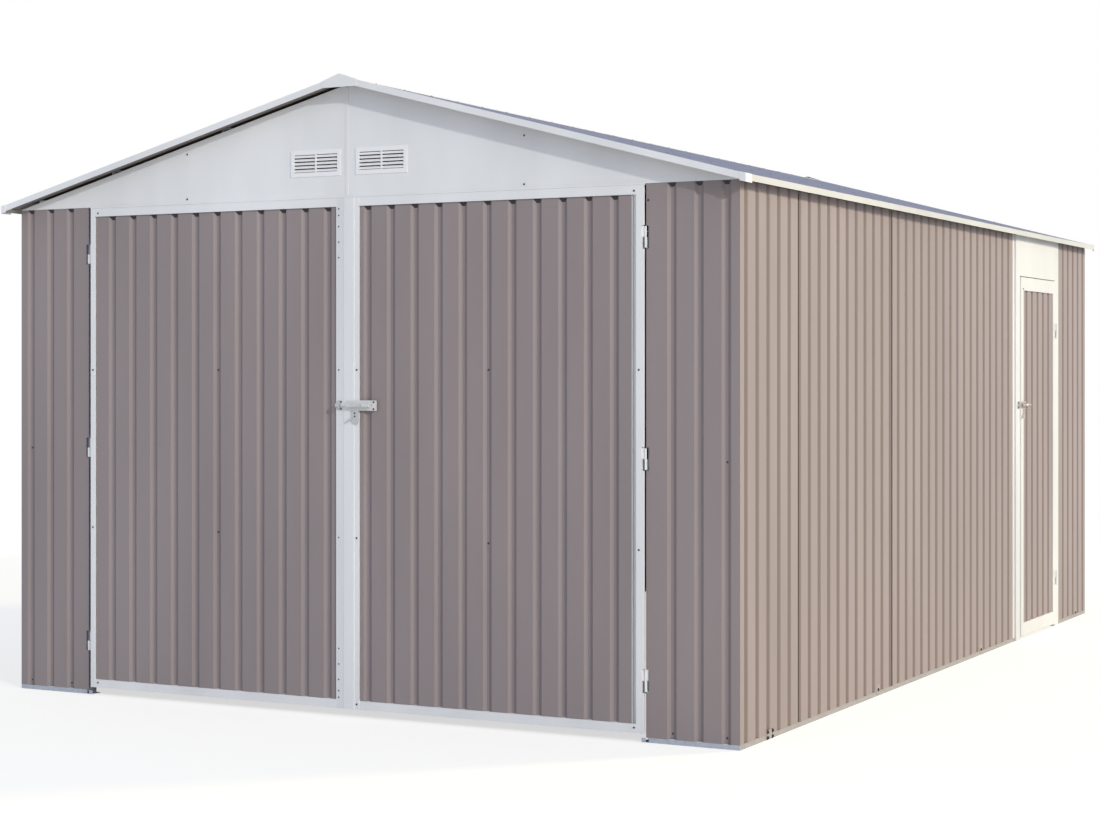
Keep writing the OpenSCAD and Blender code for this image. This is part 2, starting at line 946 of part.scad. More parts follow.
// A hanging lug with two holes, its top edge at the origin
module hasp_plate(width, height, thick) {
    difference() {
        translate([-width / 2, 0, -height])
            cube([width, thick, height]);
        for (f = [0.45, 0.78])
            translate([0, -1, -f * height])
                rotate([-90, 0, 0])
                    cylinder(r = width * 0.2, h = thick + 2);
    }
}

module front_bolt_body() {
    face_y = leaf_front - strip_proud;
    plate_t = 2.5;
    plate_h = 41;
    reach = face_y - bolt_axis_y - plate_t;
    color(zinc) {
        translate([5, face_y - plate_t, bolt_z - plate_h / 2])
            cube([138, plate_t, plate_h]);
        for (x = [5, 92])
            translate([x, bolt_axis_y, bolt_z])
                bolt_guide(13, 19, reach + eps, pin_clear);
        translate([116, face_y - eps, bolt_z - 16])
            cube([27, strip_proud + panel_in + eps, 32]);
        translate([47, face_y - plate_t, bolt_z - plate_h / 2 + eps])
            hasp_plate(28, 52, plate_t);
    }
}

module front_bolt_rod() {
    color(zinc)
        translate([-4, bolt_axis_y, bolt_z]) {
            rotate([0, 90, 0])
                cylinder(r = bolt_rod_r, h = 124);
            translate([80, 0, 0])
                rotate([90, 0, 0])
                    cylinder(r = 3.5, h = 20);
        }
}

module front_bolt_keeper() {
    stile_x = -meeting_x - meeting_gap / 2;
    plate_t = 2;
    reach = leaf_front - plate_t - bolt_axis_y;
    color(zinc) {
        translate([stile_x - 31, leaf_front - plate_t, bolt_z - 20])
            cube([28, plate_t, 40]);
        translate([stile_x - 24, bolt_axis_y, bolt_z])
            bolt_guide(13, 21, reach + eps, 1);
    }
}

// --------------------------------------------------------------- walk-in door

module side_door_frame() {
    color(off_white) {
        translate([side_front_x, side_y0, side_leaf_bottom])
            rotate([0, 0, 90])
                leaf_frame(side_leaf_w, side_leaf_h, side_stile_w, side_stile_w, side_rail_h);
        for (z = side_hinge_levels)
            translate([side_axis_x, side_axis_y, z - hinge_h / 2]) {
                sleeve_knuckle(side_knuckle_r);
                translate([-side_knuckle_r - 0.5, -32, hinge_h / 2 + knuckle_gap / 2])
                    difference() {
                        cube([3, 32, hinge_h / 2 - knuckle_gap / 2]);
                        translate([side_knuckle_r + 0.5, 32, -1])
                            cylinder(r = pin_r + pin_clear, h = hinge_h);
                    }
            }
    }
}

module side_door_panel() {
    inner = side_stile_w + panel_gap;
    first = (side_leaf_w - (side_leaf_grooves - 1) * rib_pitch) / 2;
    z0 = side_leaf_bottom + side_rail_h + panel_gap;
    z1 = side_leaf_top - side_rail_h - panel_gap;
    color(taupe)
        translate([side_front_x - panel_in, side_y0, z0])
            rotate([0, 0, 90])
                linear_extrude(z1 - z0)
                    sheet_profile(inner, side_leaf_w - inner, first, side_leaf_grooves);
}

// Draws its children in the walk-in door's own frame: x along the wall towards
// the back, y into the building, the leaf's front at y = 0
module on_side_leaf() {
    translate([side_front_x, side_y0, 0])
        rotate([0, 0, 90])
            children();
}

side_bolt_y = side_front_x - side_bolt_axis_x;

module side_bolt_body() {
    plate_t = 2;
    color(zinc)
        on_side_leaf() {
            translate([4, -plate_t, side_bolt_z - 18])
                cube([94, plate_t, 36]);
            for (x = [8, 82])
                translate([x, side_bolt_y, side_bolt_z])
                    bolt_guide(12, 18, -side_bolt_y - plate_t + eps, pin_clear);
            translate([44, -plate_t, side_bolt_z - 18 + eps])
                hasp_plate(28, 50, plate_t);
        }
}

module side_bolt_rod() {
    color(zinc)
        on_side_leaf()
            translate([6, side_bolt_y, side_bolt_z]) {
                rotate([0, 90, 0])
                    cylinder(r = bolt_rod_r, h = 92);
                translate([71, 0, 0])
                    rotate([90, 0, 0])
                        cylinder(r = 3.5, h = 18);
            }
}

module side_bolt_keeper() {
    plate_t = 2;
    face_y = leaf_proud - casing_proud;
    color(zinc)
        on_side_leaf() {
            translate([-50, face_y - plate_t, side_bolt_z - 19])
                cube([36, plate_t, 38]);
            translate([-42, side_bolt_y, side_bolt_z])
                bolt_guide(14, 20, face_y - plate_t - side_bolt_y + eps, 1);
        }
}

// --------------------------------------------------------------------- nodes

base_rail_front();
base_rail_back();
base_rail_left();
base_rail_right();
corner_posts();
front_door_posts();
front_header();
side_door_posts();
side_door_transom();
wall_plates();
wall_girts();
front_wall_left();
front_wall_right();
left_wall();
back_wall();
right_wall_front();
right_wall_rear();
front_gable();
back_gable();
roof_purlins();
roof_rafters();
roof_left();
roof_right();
ridge_cap();
ridge_end_caps();
verge_trim_front();
verge_trim_back();
eave_trims();
eave_corner_caps();
front_vents();
back_vents();
left_door_frame();
left_door_panel();
right_door_frame();
right_door_panel();
door_cover_strip();
front_bolt_keeper();
front_bolt_body();
front_bolt_rod();
side_door_frame();
side_door_panel();
side_bolt_keeper();
side_bolt_body();
side_bolt_rod();
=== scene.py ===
"""Finishes, fasteners and fittings of a metal garage, laid out as a Blender add-on.

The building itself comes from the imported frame. This file gives every surface its
finish and adds the pieces that the frame leaves plain: screws with their washers,
the gable vents, the slide bolts, the laps between sheets and the hems of the doors.
"""

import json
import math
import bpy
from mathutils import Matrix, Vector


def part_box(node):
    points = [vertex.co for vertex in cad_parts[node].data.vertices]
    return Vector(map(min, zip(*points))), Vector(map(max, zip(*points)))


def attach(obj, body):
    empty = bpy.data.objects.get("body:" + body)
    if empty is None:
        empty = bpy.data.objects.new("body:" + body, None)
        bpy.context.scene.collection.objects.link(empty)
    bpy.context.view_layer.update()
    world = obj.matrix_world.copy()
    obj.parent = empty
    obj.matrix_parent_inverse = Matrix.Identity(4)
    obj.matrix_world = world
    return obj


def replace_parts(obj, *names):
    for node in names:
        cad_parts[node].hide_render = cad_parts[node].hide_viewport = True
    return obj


bl_info = {
    "name": "Metal garage",
    "version": (1, 0, 0),
    "blender": (4, 5, 0),
    "location": "View3D > Sidebar > Garage",
    "description": "Finishes, screws, vents and bolts of a ribbed steel garage",
    "category": "Object",
}

import bmesh
import bpy
from bpy.props import FloatProperty, FloatVectorProperty, IntProperty, PointerProperty
from mathutils import Matrix, Vector

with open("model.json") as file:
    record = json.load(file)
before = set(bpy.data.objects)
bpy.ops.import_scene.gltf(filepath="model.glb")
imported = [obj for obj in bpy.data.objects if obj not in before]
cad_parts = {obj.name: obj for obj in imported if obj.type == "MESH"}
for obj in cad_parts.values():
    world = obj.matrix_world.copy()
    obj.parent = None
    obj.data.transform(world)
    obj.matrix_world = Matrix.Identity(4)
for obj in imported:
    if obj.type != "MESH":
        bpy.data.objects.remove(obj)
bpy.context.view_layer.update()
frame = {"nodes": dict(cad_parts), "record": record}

MM = 0.001
RIGHT, LEFT = Vector((1, 0, 0)), Vector((-1, 0, 0))
FRONT, BACK = Vector((0, -1, 0)), Vector((0, 1, 0))

SIDE_WALLS = ("left_wall", "right_wall_front", "right_wall_rear")

# Places that come from the frame, in metres
WALL_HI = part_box("right_wall_front")[1]
FRONT_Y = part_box("front_wall_left")[0].y
SIDE_X = WALL_HI.x
WALL_TOP = WALL_HI.z
WALL_FOOT = WALL_HI.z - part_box("left_wall")[1].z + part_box("left_wall")[0].z
LEAF_FRONT = FRONT_Y - 13 * MM

# The grooves: their spacing, depth and number, and the first one of each wall
PITCH = 109 * MM
GROOVE_DEPTH = 10 * MM
SIDE_GROOVES, END_GROOVES = 47, 31
SIDE_FIRST = (2 * abs(FRONT_Y) - (SIDE_GROOVES - 1) * PITCH) / 2
END_FIRST = (2 * SIDE_X - (END_GROOVES - 1) * PITCH) / 2
# First groove of a front leaf, from the middle of the doorway
LEAF_FIRST = 94.5 * MM
LEAF_GROOVES = 11

# Grooves where one sheet laps the next, and one with a cord of sealant down it
# The dark sealant at these laps and in the cord is painted shade
RIGHT_LAPS, LEFT_LAPS, BACK_LAPS = (15,), (15, 31), (15,)
SHADE_CORD_GROOVE = 5

# The roof, and how far down the slope its lines of screws lie, in metres
ROOF_TILT = math.radians(14.85)
APEX_Z = 2557.8 * MM
ROOF_SCREW_LINES = (0.11, 0.63, 1.225, 1.71)

# Heights of the rows of screws
WALL_LEVELS = (WALL_FOOT + 22 * MM, 1.05, WALL_TOP - 22 * MM)
RAIL_LEVELS = (0.717, 1.388)
GABLE_LEVELS = (2100 * MM, 2287 * MM)
STRIP_TOP_SCREW = 2.02

# Where the screws of the front stand
GABLE_SCREW_X = 797 * MM
CORNER_X = {"left_door_frame": -1257 * MM, "right_door_frame": 1268 * MM}
STILE_X = {"left_door_frame": -1284 * MM, "right_door_frame": 1288 * MM}
INNER_CORNER_X = 48 * MM
MEETING_STILE_X = -37 * MM
# From the edge of a leaf to the screws of its rails
RAIL_EDGE = 21 * MM
# From the ends of the meeting stile to its screws
STILE_ENDS = (44, 70, 115, 177, 239)
# The groove of a leaf's panel that is screwed to the rails behind it
LEAF_SCREW_GROOVE = 5

# The vents: width of one, space between the two, and from the edge to a screw
VENT_WIDTH = 241 * MM
VENT_GAP = 70 * MM
VENT_EDGE = 7 * MM
VENT_PROUD = 3 * MM

# Round plates over the base rail, at these places along the side walls
ANCHOR_PLATES = (-1.035, 0.491, 2.341)
ANCHOR_LEVEL = 26 * MM
ANCHOR_PLATE_T = 1.6 * MM
# Thickness of the bracket, its middle and its bolts from the front end of the rail
BRACKET = 2.2 * MM
BRACKET_MIDDLE = 287.5 * MM
BRACKET_BOLTS = (263 * MM, 312 * MM)
BRACKET_LEVELS = (8 * MM, 29 * MM)

# Corners of a groove's dark closure, which is painted shade, in mm: along the wall, up, and
# out from its face
SHADE_PLUG = (
    (-17, 0, -1), (17, 0, -1), (-7, 0, -10), (7, 0, -10),
    (-7, -15, -9.4), (7, -15, -9.4), (-7, -15, -10), (7, -15, -10),
)

# Foot and head of each length of the right-hand leaf's flange, clear of the hinges
FLANGE_LENGTHS = ((33, 185), (273, 1012), (1100, 1839), (1927, 2077))
# Hinge pins: place across the front, and middles of the three hinges
PIN_PLACES = ((-1303.5 * MM, LEAF_FRONT + 10 * MM), (1312.5 * MM, LEAF_FRONT + 8 * MM))
HINGE_LEVELS = (229, 1056, 1883)

# The slide bolts, in mm along the bolt from the joint it closes. stand is how far the
# face of the plate stands out from the wall, half is half the plate's height, slot is
# where the handle moves, end is the far end of the barrel, and axis is the height of
# the staple's middle over the plate's back.
FRONT_BOLT_Z, SIDE_BOLT_Z = 1.246, 1.208
BARREL_AXIS = 13 * MM
BOLTS = {
    "front_bolt_body": {
        "rides": "right_door", "stand": 19.5, "thick": 2.5, "half": 20.5, "span": (5, 143),
        "slot": (24, 83), "end": 118, "hasp": 41,
        "plating": "zinc_plated_steel", "hasp_plating": "zinc_plated_steel_dulled",
    },
    "front_bolt_keeper": {
        "rides": "left_door", "stand": 15, "thick": 2, "half": 20, "span": (-43, -18),
        "staple": (-39, -26), "axis": 17, "outer": 10.4,
        "plating": "zinc_plated_steel_dulled",
    },
    # The side bolt's body and keeper are in warm zinc, whose tint is a painted warm reflection
    "side_bolt_body": {
        "rides": "side_door", "stand": 15, "thick": 2, "half": 18, "span": (4, 98),
        "slot": (22, 83), "end": 94, "hasp": 44,
        "plating": "zinc_passivated_steel", "hasp_plating": "zinc_passivated_steel",
    },
    "side_bolt_keeper": {
        "rides": "building", "stand": 10, "thick": 2, "half": 19, "span": (-50, -14),
        "staple": (-42, -28), "axis": 18, "outer": 9.9,
        "plating": "zinc_passivated_steel",
    },
}
# Corners of the lever below a hasp, from the hasp's middle and the plate's lower edge
LEVER = ((-8, 34), (-44, 53), (-47, 47), (-14, 27))

# Sideways and upward shift of the camera's lens, in widths of its sensor
SHIFT_X, SHIFT_Y = 0.0158, -0.0376


# ------------------------------------------------------------------ small tools


def linear(code):
    """Turns an sRGB hex colour such as "#9a938f" into linear RGBA."""
    parts = [int(code[i : i + 2], 16) / 255 for i in (1, 3, 5)]
    toned = [c / 12.92 if c <= 0.04045 else ((c + 0.055) / 1.055) ** 2.4 for c in parts]
    return (*toned, 1.0)


def add(tree, kind, inputs=None, **settings):
    """Adds a node. inputs maps a socket's name or number to a value or an output."""
    new = tree.nodes.new(kind)
    for name, value in settings.items():
        setattr(new, name, value)
    for key, value in (inputs or {}).items():
        if isinstance(value, bpy.types.NodeSocket):
            tree.links.new(value, new.inputs[key])
        else:
            new.inputs[key].default_value = value
    return new


def put(tree, kind, inputs=None, **settings):
    """Adds a node and returns its first output."""
    return add(tree, kind, inputs, **settings).outputs[0]


def new_object(name, data):
    """Puts an object with the given data into the scene."""
    made = bpy.data.objects.new(name, data)
    bpy.context.scene.collection.objects.link(made)
    return made


def mesh_object(name, bm, material):
    """Turns a bmesh into an object with its faces pointing outwards."""
    bmesh.ops.remove_doubles(bm, verts=bm.verts, dist=1e-6)
    bmesh.ops.recalc_face_normals(bm, faces=bm.faces)
    mesh = bpy.data.meshes.new(name)
    bm.to_mesh(mesh)
    bm.free()
    mesh.materials.append(material)
    return new_object(name, mesh)


def finish_modifiers(made):
    """Applies an object's modifiers and leaves a plain mesh at the origin."""
    bpy.context.view_layer.update()
    graph = bpy.context.evaluated_depsgraph_get()
    plain = bpy.data.meshes.new_from_object(made.evaluated_get(graph))
    made.modifiers.clear()
    made.data = plain
    return made


def soften(made, width, segments):
    """Rounds the edges of a piece by a small bevel."""
    bevel = made.modifiers.new("edge", "BEVEL")
    bevel.width = width
    bevel.segments = segments
    bevel.limit_method = "ANGLE"
    bevel.angle_limit = math.radians(40)
    finish_modifiers(made)


def keep(made, slot, body):
    """Sets a piece on the body it rides on. slot is not used."""
    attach(made, body)
    return made


def box_into(bm, low, high, place=None):
    """Adds a box between two corners, given in the axes of place."""
    low, high = Vector(low), Vector(high)
    middle = (low + high) / 2
    size = high - low
    shape = Matrix.Translation(middle) @ Matrix.Diagonal((*size, 1.0))
    bmesh.ops.create_cube(bm, size=1.0, matrix=place @ shape if place else shape)


def disc_into(bm, lower, upper, depth, matrix, segments=16):
    """Adds a short round piece with the radii lower and upper at its two ends."""
    sizes = {"segments": segments, "radius1": lower, "radius2": upper, "depth": depth}
    bmesh.ops.create_cone(bm, cap_ends=True, matrix=matrix, **sizes)


def piece(name, bm, material, slot, body, edge=None, segments=2):
    """Turns a bmesh into a piece with its finish, on the body it rides on. slot is not
    used. edge is the width of the bevel on its edges."""
    made = mesh_object(name, bm, finish(material))
    if edge:
        soften(made, edge, segments)
    return keep(made, slot, body)


def bars(name, corners, *settings):
    """Makes one piece out of the boxes between pairs of corners."""
    bm = bmesh.new()
    for low, high in corners:
        box_into(bm, low, high)
    piece(name, bm, *settings)


def on_wall(origin, out):
    """Axes at a place on a wall: x along it, y upwards and z out of it."""
    out, up = Vector(out), Vector((0, 0, 1))
    along = up.cross(out)
    turn = Matrix((along, up, out)).transposed().to_4x4()
    return Matrix.Translation(Vector(origin)) @ turn


def prism_into(bm, outline, depth, place):
    """Adds a prism: outline is a list of (x, y), extruded along +z, then placed."""
    lower = [bm.verts.new(place @ Vector((x, y, 0))) for x, y in outline]
    upper = [bm.verts.new(place @ Vector((x, y, depth))) for x, y in outline]
    count = len(outline)
    bm.faces.new(lower[::-1])
    bm.faces.new(upper)
    for i in range(count):
        j = (i + 1) % count
        bm.faces.new((lower[i], lower[j], upper[j], upper[i]))


def rounded_outline(low, high, radii, steps=5):
    """Outline of a rectangle whose corners are rounded by radii, given from the upper
    right one anticlockwise."""
    points = []
    corners = ((high[0], high[1]), (low[0], high[1]), (low[0], low[1]), (high[0], low[1]))
    for quarter, ((cx, cy), radius) in enumerate(zip(corners, radii)):
        sx = 1 if quarter in (0, 3) else -1
        sy = 1 if quarter in (0, 1) else -1
        for k in range(steps + 1):
            a = (quarter + k / steps) * math.pi / 2
            x = cx - sx * radius + radius * math.cos(a)
            y = cy - sy * radius + radius * math.sin(a)
            points.append((x, y))
    return points


def shell_outline(inner, outer, middle, foot, first, last, steps=9):
    """Outline of part of a half-round shell about (0, middle), from the angle first to
    last in degrees. A shell that reaches 0 or 180 degrees has a leg down to foot."""
    angles = [math.radians(first + (last - first) * k / steps) for k in range(steps + 1)]
    around = [(outer * math.cos(a), middle + outer * math.sin(a)) for a in angles]
    within = [(inner * math.cos(a), middle + inner * math.sin(a)) for a in reversed(angles)]
    start = [(inner, foot), (outer, foot)] if first == 0 else []
    end = [(-outer, foot), (-inner, foot)] if last == 180 else []
    return [*start, *around, *end, *within]


# -------------------------------------------------------------------- materials


def new_material(name):
    """Starts a material and returns its node tree and the object's coordinates."""
    made = bpy.data.materials.new(name)
    made.use_nodes = True
    tree = made.node_tree
    tree.nodes.clear()
    return tree, add(tree, "ShaderNodeTexCoord").outputs["Object"]


def spread(tree, value, low, high, start=0.0, end=1.0):
    """Carries a value that runs from start to end over to the range low to high."""
    reach = {"From Min": start, "From Max": end, "To Min": low, "To Max": high}
    return put(tree, "ShaderNodeMapRange", {"Value": value, **reach})


def noise(tree, place, scale, detail):
    """A noise from 0 to 1; scale is the number of its patches in a metre."""
    sockets = {"Vector": place, "Scale": scale, "Detail": detail}
    return put(tree, "ShaderNodeTexNoise", sockets)


def scaled(tree, place, scale):
    """Coordinates stretched along each axis."""
    return put(tree, "ShaderNodeMapping", {"Vector": place, "Scale": scale})


def math_node(tree, operation, first, second=0.0):
    """Works out one operation on two values."""
    return put(tree, "ShaderNodeMath", {0: first, 1: second}, operation=operation)


def blend(tree, factor, first, second):
    """Mixes two colours."""
    sockets = {"Factor": factor, 6: first, 7: second}
    return add(tree, "ShaderNodeMix", sockets, data_type="RGBA").outputs[2]


def relief(tree, height, strength, depth, **under):
    """A bump whose full depth is given in metres."""
    sockets = {"Height": height, "Strength": strength, "Distance": depth, **under}
    return put(tree, "ShaderNodeBump", sockets)


def surface(tree, sockets):
    """Ends a material in one shader with the given sockets."""
    shader = put(tree, "ShaderNodeBsdfPrincipled", sockets)
    add(tree, "ShaderNodeOutputMaterial", {"Surface": shader})


def painted_steel(name, colour, roughness, stain=0.05, backing=None, groove_shade_x=None):
    """Coil-coated steel: polyester paint baked onto sheet. It gives an even, half-matt
    face with a faint orange peel, slow waves where the thin sheet isn't flat, and a
    little dust towards the ground. backing is the colour of the underside, if it has
    its own coat. groove_shade_x is the x of the outer face of a side wall: its
    grooves, which lie deeper, are darkened brown as painted shade."""
    fleck_mm, wave_mm = 2.0, 320.0
    tree, place = new_material(name)
    patches = noise(tree, scaled(tree, place, (1.0, 1.0, 0.25)), 1000 / wave_mm, 3.0)
    tone = spread(tree, patches, 0.93, 1.05, 0.3, 0.7)
    paint = put(tree, "ShaderNodeHueSaturation", {"Color": colour, "Value": tone})
    where = add(tree, "ShaderNodeSeparateXYZ", {"Vector": place}).outputs
    low = spread(tree, where["Z"], 0.0, stain, 0.35, 0.0)
    streaks = noise(tree, scaled(tree, place, (24.0, 24.0, 3.0)), 1.0, 4.0)
    dust = math_node(tree, "MULTIPLY", low, streaks)
    final = blend(tree, dust, paint, linear("#8d8578"))
    # Painted shade: the grooves of a side wall, deeper than its face, are darkened brown
    if groove_shade_x:
        away = math_node(tree, "ABSOLUTE", where["X"])
        deep = spread(tree, away, 0.0, 1.0, groove_shade_x - 1 * MM, groove_shade_x - 4 * MM)
        final = blend(tree, deep, final, linear("#8e7e74"))
    if backing:
        normal = add(tree, "ShaderNodeNewGeometry").outputs["Normal"]
        up = add(tree, "ShaderNodeSeparateXYZ", {"Vector": normal}).outputs["Z"]
        final = blend(tree, math_node(tree, "LESS_THAN", up, -0.3), final, linear(backing))
    peel = noise(tree, place, 1000 / fleck_mm, 2.0)
    fine = relief(tree, peel, 0.06, 0.1 * MM)
    surface(
        tree,
        {
            "Base Color": final,
            "Roughness": spread(tree, patches, roughness - 0.05, roughness + 0.07),
            "Normal": relief(tree, patches, 0.35, 2.0 * MM, Normal=fine),
            "Metallic": 0.0,
            "IOR": 1.46,
            "Specular IOR Level": 0.35,
        },
    )


def galvanised_steel(name, paint_front=None, code="#c6c9d2"):
    """Hot-dip galvanised steel, dulled: a zinc skin whose crystals, some 9 mm across,
    catch the light differently from one to the next. What stands in front of the plane
    y = paint_front is painted white, such as the hinge barrels on a bare post."""
    crystal_mm = 9.0
    tree, place = new_material(name)
    sockets = {"Vector": place, "Scale": 1000 / crystal_mm, "Randomness": 1.0}
    spangle = add(tree, "ShaderNodeTexVoronoi", sockets).outputs["Color"]
    tone = spread(tree, spangle, 0.86, 1.08)
    colour = put(tree, "ShaderNodeHueSaturation", {"Color": linear(code), "Value": tone})
    if paint_front is not None:
        depth = add(tree, "ShaderNodeSeparateXYZ", {"Vector": place}).outputs["Y"]
        bare = math_node(tree, "GREATER_THAN", depth, paint_front)
        colour = blend(tree, bare, (*bpy.context.scene.garage_paint.trims, 1.0), colour)
    gloss = spread(tree, spangle, 0.42, 0.6)
    metal = 0.3 if paint_front is None else 0.0
    surface(tree, {"Base Color": colour, "Roughness": gloss, "Metallic": metal})


def plated_steel(name, code, roughness, metal=0.9):
    """Zinc-plated pressed steel: a thin bright coat over fine rolling marks. metal is
    lower where the plating has dulled to a pale grey."""
    grain_mm = 0.8
    tree, place = new_material(name)
    marks = noise(tree, scaled(tree, place, (0.12, 0.12, 1.0)), 1000 / grain_mm, 3.0)
    surface(
        tree,
        {
            "Base Color": linear(code),
            "Roughness": spread(tree, marks, roughness - 0.08, roughness + 0.1),
            "Metallic": metal,
            "Normal": relief(tree, marks, 0.1, 0.1 * MM),
        },
    )


def moulded_plastic(name, code, roughness):
    """Moulded ABS or EPDM rubber: an even colour with a fine, dry texture."""
    grain_mm = 1.2
    tree, place = new_material(name)
    grain = noise(tree, place, 1000 / grain_mm, 2.0)
    surface(
        tree,
        {
            "Base Color": linear(code),
            "Roughness": spread(tree, grain, roughness - 0.06, roughness + 0.06),
            "IOR": 1.53,
            "Normal": relief(tree, grain, 0.08, 0.1 * MM),
        },
    )


def finish(name):
    """The material of that name, made on first use from the colours in the panel."""
    paint = bpy.context.scene.garage_paint
    walls, trims = (*paint.walls, 1.0), (*paint.trims, 1.0)
    side_shaded_trims, roof = (*paint.side_shaded_trims, 1.0), (*paint.roof, 1.0)
    door_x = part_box("side_door_panel")[1].x
    makers = {
        # Polyester paint on the ribbed sheets; painted brown shade in the grooves of the long
        # sides
        "coil_coated_taupe": (painted_steel, walls, 0.42),
        "coil_coated_taupe_long_walls": (painted_steel, walls, 0.42, 0.05, None, SIDE_X),
        "coil_coated_taupe_walk_in_door": (painted_steel, walls, 0.42, 0.05, None, door_x),
        # Polyester paint on the folded trims; its darker copies below are painted shade
        "coil_coated_white": (painted_steel, trims, 0.4, 0.08),
        "coil_coated_cream": (painted_steel, side_shaded_trims, 0.4, 0.08),
        "coil_coated_cream_shaded": (painted_steel, linear("#cfcfcb"), 0.4, 0.08),
        # Matt polyester on the roof, with the thin beige coat of its underside
        "coil_coated_slate": (painted_steel, roof, 0.62, 0.0, "#8d847c"),
        "slate_screw_steel": (painted_steel, roof, 0.5, 0.0),
        # Bare zinc on the posts and rails; the side rails get a darker copy, which is painted
        # shade
        "galvanised_steel": (galvanised_steel,),
        "galvanised_posts_white_hinges": (galvanised_steel, FRONT_Y + 6 * MM),
        "galvanised_steel_weathered": (galvanised_steel, None, "#a9a7a7"),
        # Zinc plate on the fittings, clear on the front; the warm tint on the side is a
        # painted reflection
        "zinc_plated_steel": (plated_steel, "#e6e3df", 0.4, 0.2),
        "zinc_plated_steel_dulled": (plated_steel, "#d2d1cf", 0.42, 0.2),
        "zinc_passivated_steel": (plated_steel, "#bcaba7", 0.45, 0.2),
        "zinc_passivated_steel_dulled": (plated_steel, "#a59c9b", 0.6, 0.1),
        # Dark grey steel on screws, pin ends and hasp discs; on the screws' heads it is
        # painted shade
        "dark_screw_steel": (plated_steel, "#54565a", 0.5),
        # Moulded vents, and dark rubber closures and sealant that are painted shade
        "abs_plastic_white": (moulded_plastic, "#fbf8f6", 0.45),
        "epdm_rubber_dark": (moulded_plastic, "#3f3c3d", 0.8),
        "butyl_sealant_brown": (moulded_plastic, "#564a43", 0.8),
    }
    if name not in bpy.data.materials:
        maker, *settings = makers[name]
        maker(name, *settings)
    return bpy.data.materials[name]


# --------------------------------------------------------------- geometry nodes


def open_tree(name, floats):
    """Starts a tree that takes points, some floats and a finish. Returns the tree and
    the outputs of its input node."""
    tree = bpy.data.node_groups.new(name, "GeometryNodeTree")
    face = tree.interface
    face.new_socket("Geometry", in_out="INPUT", socket_type="NodeSocketGeometry")
    for label, value in floats:
        made = face.new_socket(label, in_out="INPUT", socket_type="NodeSocketFloat")
        made.default_value = value
    face.new_socket("Finish", in_out="INPUT", socket_type="NodeSocketMaterial")
    face.new_socket("Geometry", in_out="OUTPUT", socket_type="NodeSocketGeometry")
    return tree, add(tree, "NodeGroupInput").outputs


def close_tree(tree, given, shape, turn):
    """Sets the shape on every point, turned, makes it real and gives it its finish."""
    sockets = {"Points": given["Geometry"], "Instance": shape, "Rotation": turn}
    on_points = put(tree, "GeometryNodeInstanceOnPoints", sockets)
    real = put(tree, "GeometryNodeRealizeInstances", {"Geometry": on_points})
    sockets = {"Geometry": real, "Material": given["Finish"]}
    done = put(tree, "GeometryNodeSetMaterial", sockets)
    add(tree, "NodeGroupOutput", {"Geometry": done})
    return tree


def screw_tree():
    """A hexagon-headed screw on a round washer, set on every point of a mesh and
    turned to face along the point's "facing" attribute."""
    floats = (
        ("Head radius", 4.2 * MM),
        ("Head height", 3.2 * MM),
        ("Washer radius", 6.0 * MM),
        ("Washer height", 1.6 * MM),
    )
    tree, given = open_tree("washer_screws", floats)
    parts = []
    for part, sides in (("Washer", 10), ("Head", 6)):
        sockets = {
            "Vertices": sides,
            "Radius": given[f"{part} radius"],
            "Depth": given[f"{part} height"],
        }
        parts.append(put(tree, "GeometryNodeMeshCylinder", sockets, fill_type="NGON"))
    washer, head = parts
    rise = math_node(tree, "ADD", given["Head height"], given["Washer height"])
    offset = put(tree, "ShaderNodeCombineXYZ", {"Z": math_node(tree, "MULTIPLY", rise, 0.5)})
    sockets = {"Geometry": head, "Translation": offset}
    raised = put(tree, "GeometryNodeTransform", sockets)
    both = add(tree, "GeometryNodeJoinGeometry")
    for part in (raised, washer):
        tree.links.new(part, both.inputs[0])
    sockets = {"Name": "facing"}
    facing = put(tree, "GeometryNodeInputNamedAttribute", sockets, data_type="FLOAT_VECTOR")
    turn = put(tree, "FunctionNodeAlignRotationToVector", {"Vector": facing}, axis="Z")
    return close_tree(tree, given, both.outputs[0], turn)


def louvre_tree():
    """Slats one above the other: a tilted bar set on every point of a mesh."""
    floats = (
        ("Slat width", 205 * MM),
        ("Slat depth", 10 * MM),
        ("Slat thickness", 1.4 * MM),
        ("Tilt", math.radians(35)),
    )
    tree, given = open_tree("louvre_slats", floats)
    sides = {"X": given["Slat width"], "Y": given["Slat thickness"], "Z": given["Slat depth"]}
    size = put(tree, "ShaderNodeCombineXYZ", sides)
    slat = put(tree, "GeometryNodeMeshCube", {"Size": size})
    lean = put(tree, "ShaderNodeCombineXYZ", {"X": given["Tilt"]})
    return close_tree(tree, given, slat, lean)


def grow(name, points, tree, values, facings=None):
    """Runs a node tree on a cloud of points and returns the plain mesh object. values
    maps an input's label to its value."""
    mesh = bpy.data.meshes.new(name)
    mesh.from_pydata([tuple(p) for p in points], [], [])
    if facings:
        attribute = mesh.attributes.new("facing", "FLOAT_VECTOR", "POINT")
        for item, way in zip(attribute.data, facings):
            item.vector = way
    made = new_object(name, mesh)
    grower = made.modifiers.new("grow", "NODES")
    grower.node_group = tree
    for item in tree.interface.items_tree:
        if item.in_out == "INPUT" and item.name in values:
            grower[item.identifier] = values[item.name]
    return finish_modifiers(made)


# -------------------------------------------------------------- where screws go


def groove_x(index):
    """Middle of a groove of an end wall, counted from the left corner."""
    return -SIDE_X + END_FIRST + index * PITCH


def groove_y(index):
    """Middle of a groove of a side wall, counted from the front."""
    return FRONT_Y + SIDE_FIRST + index * PITCH


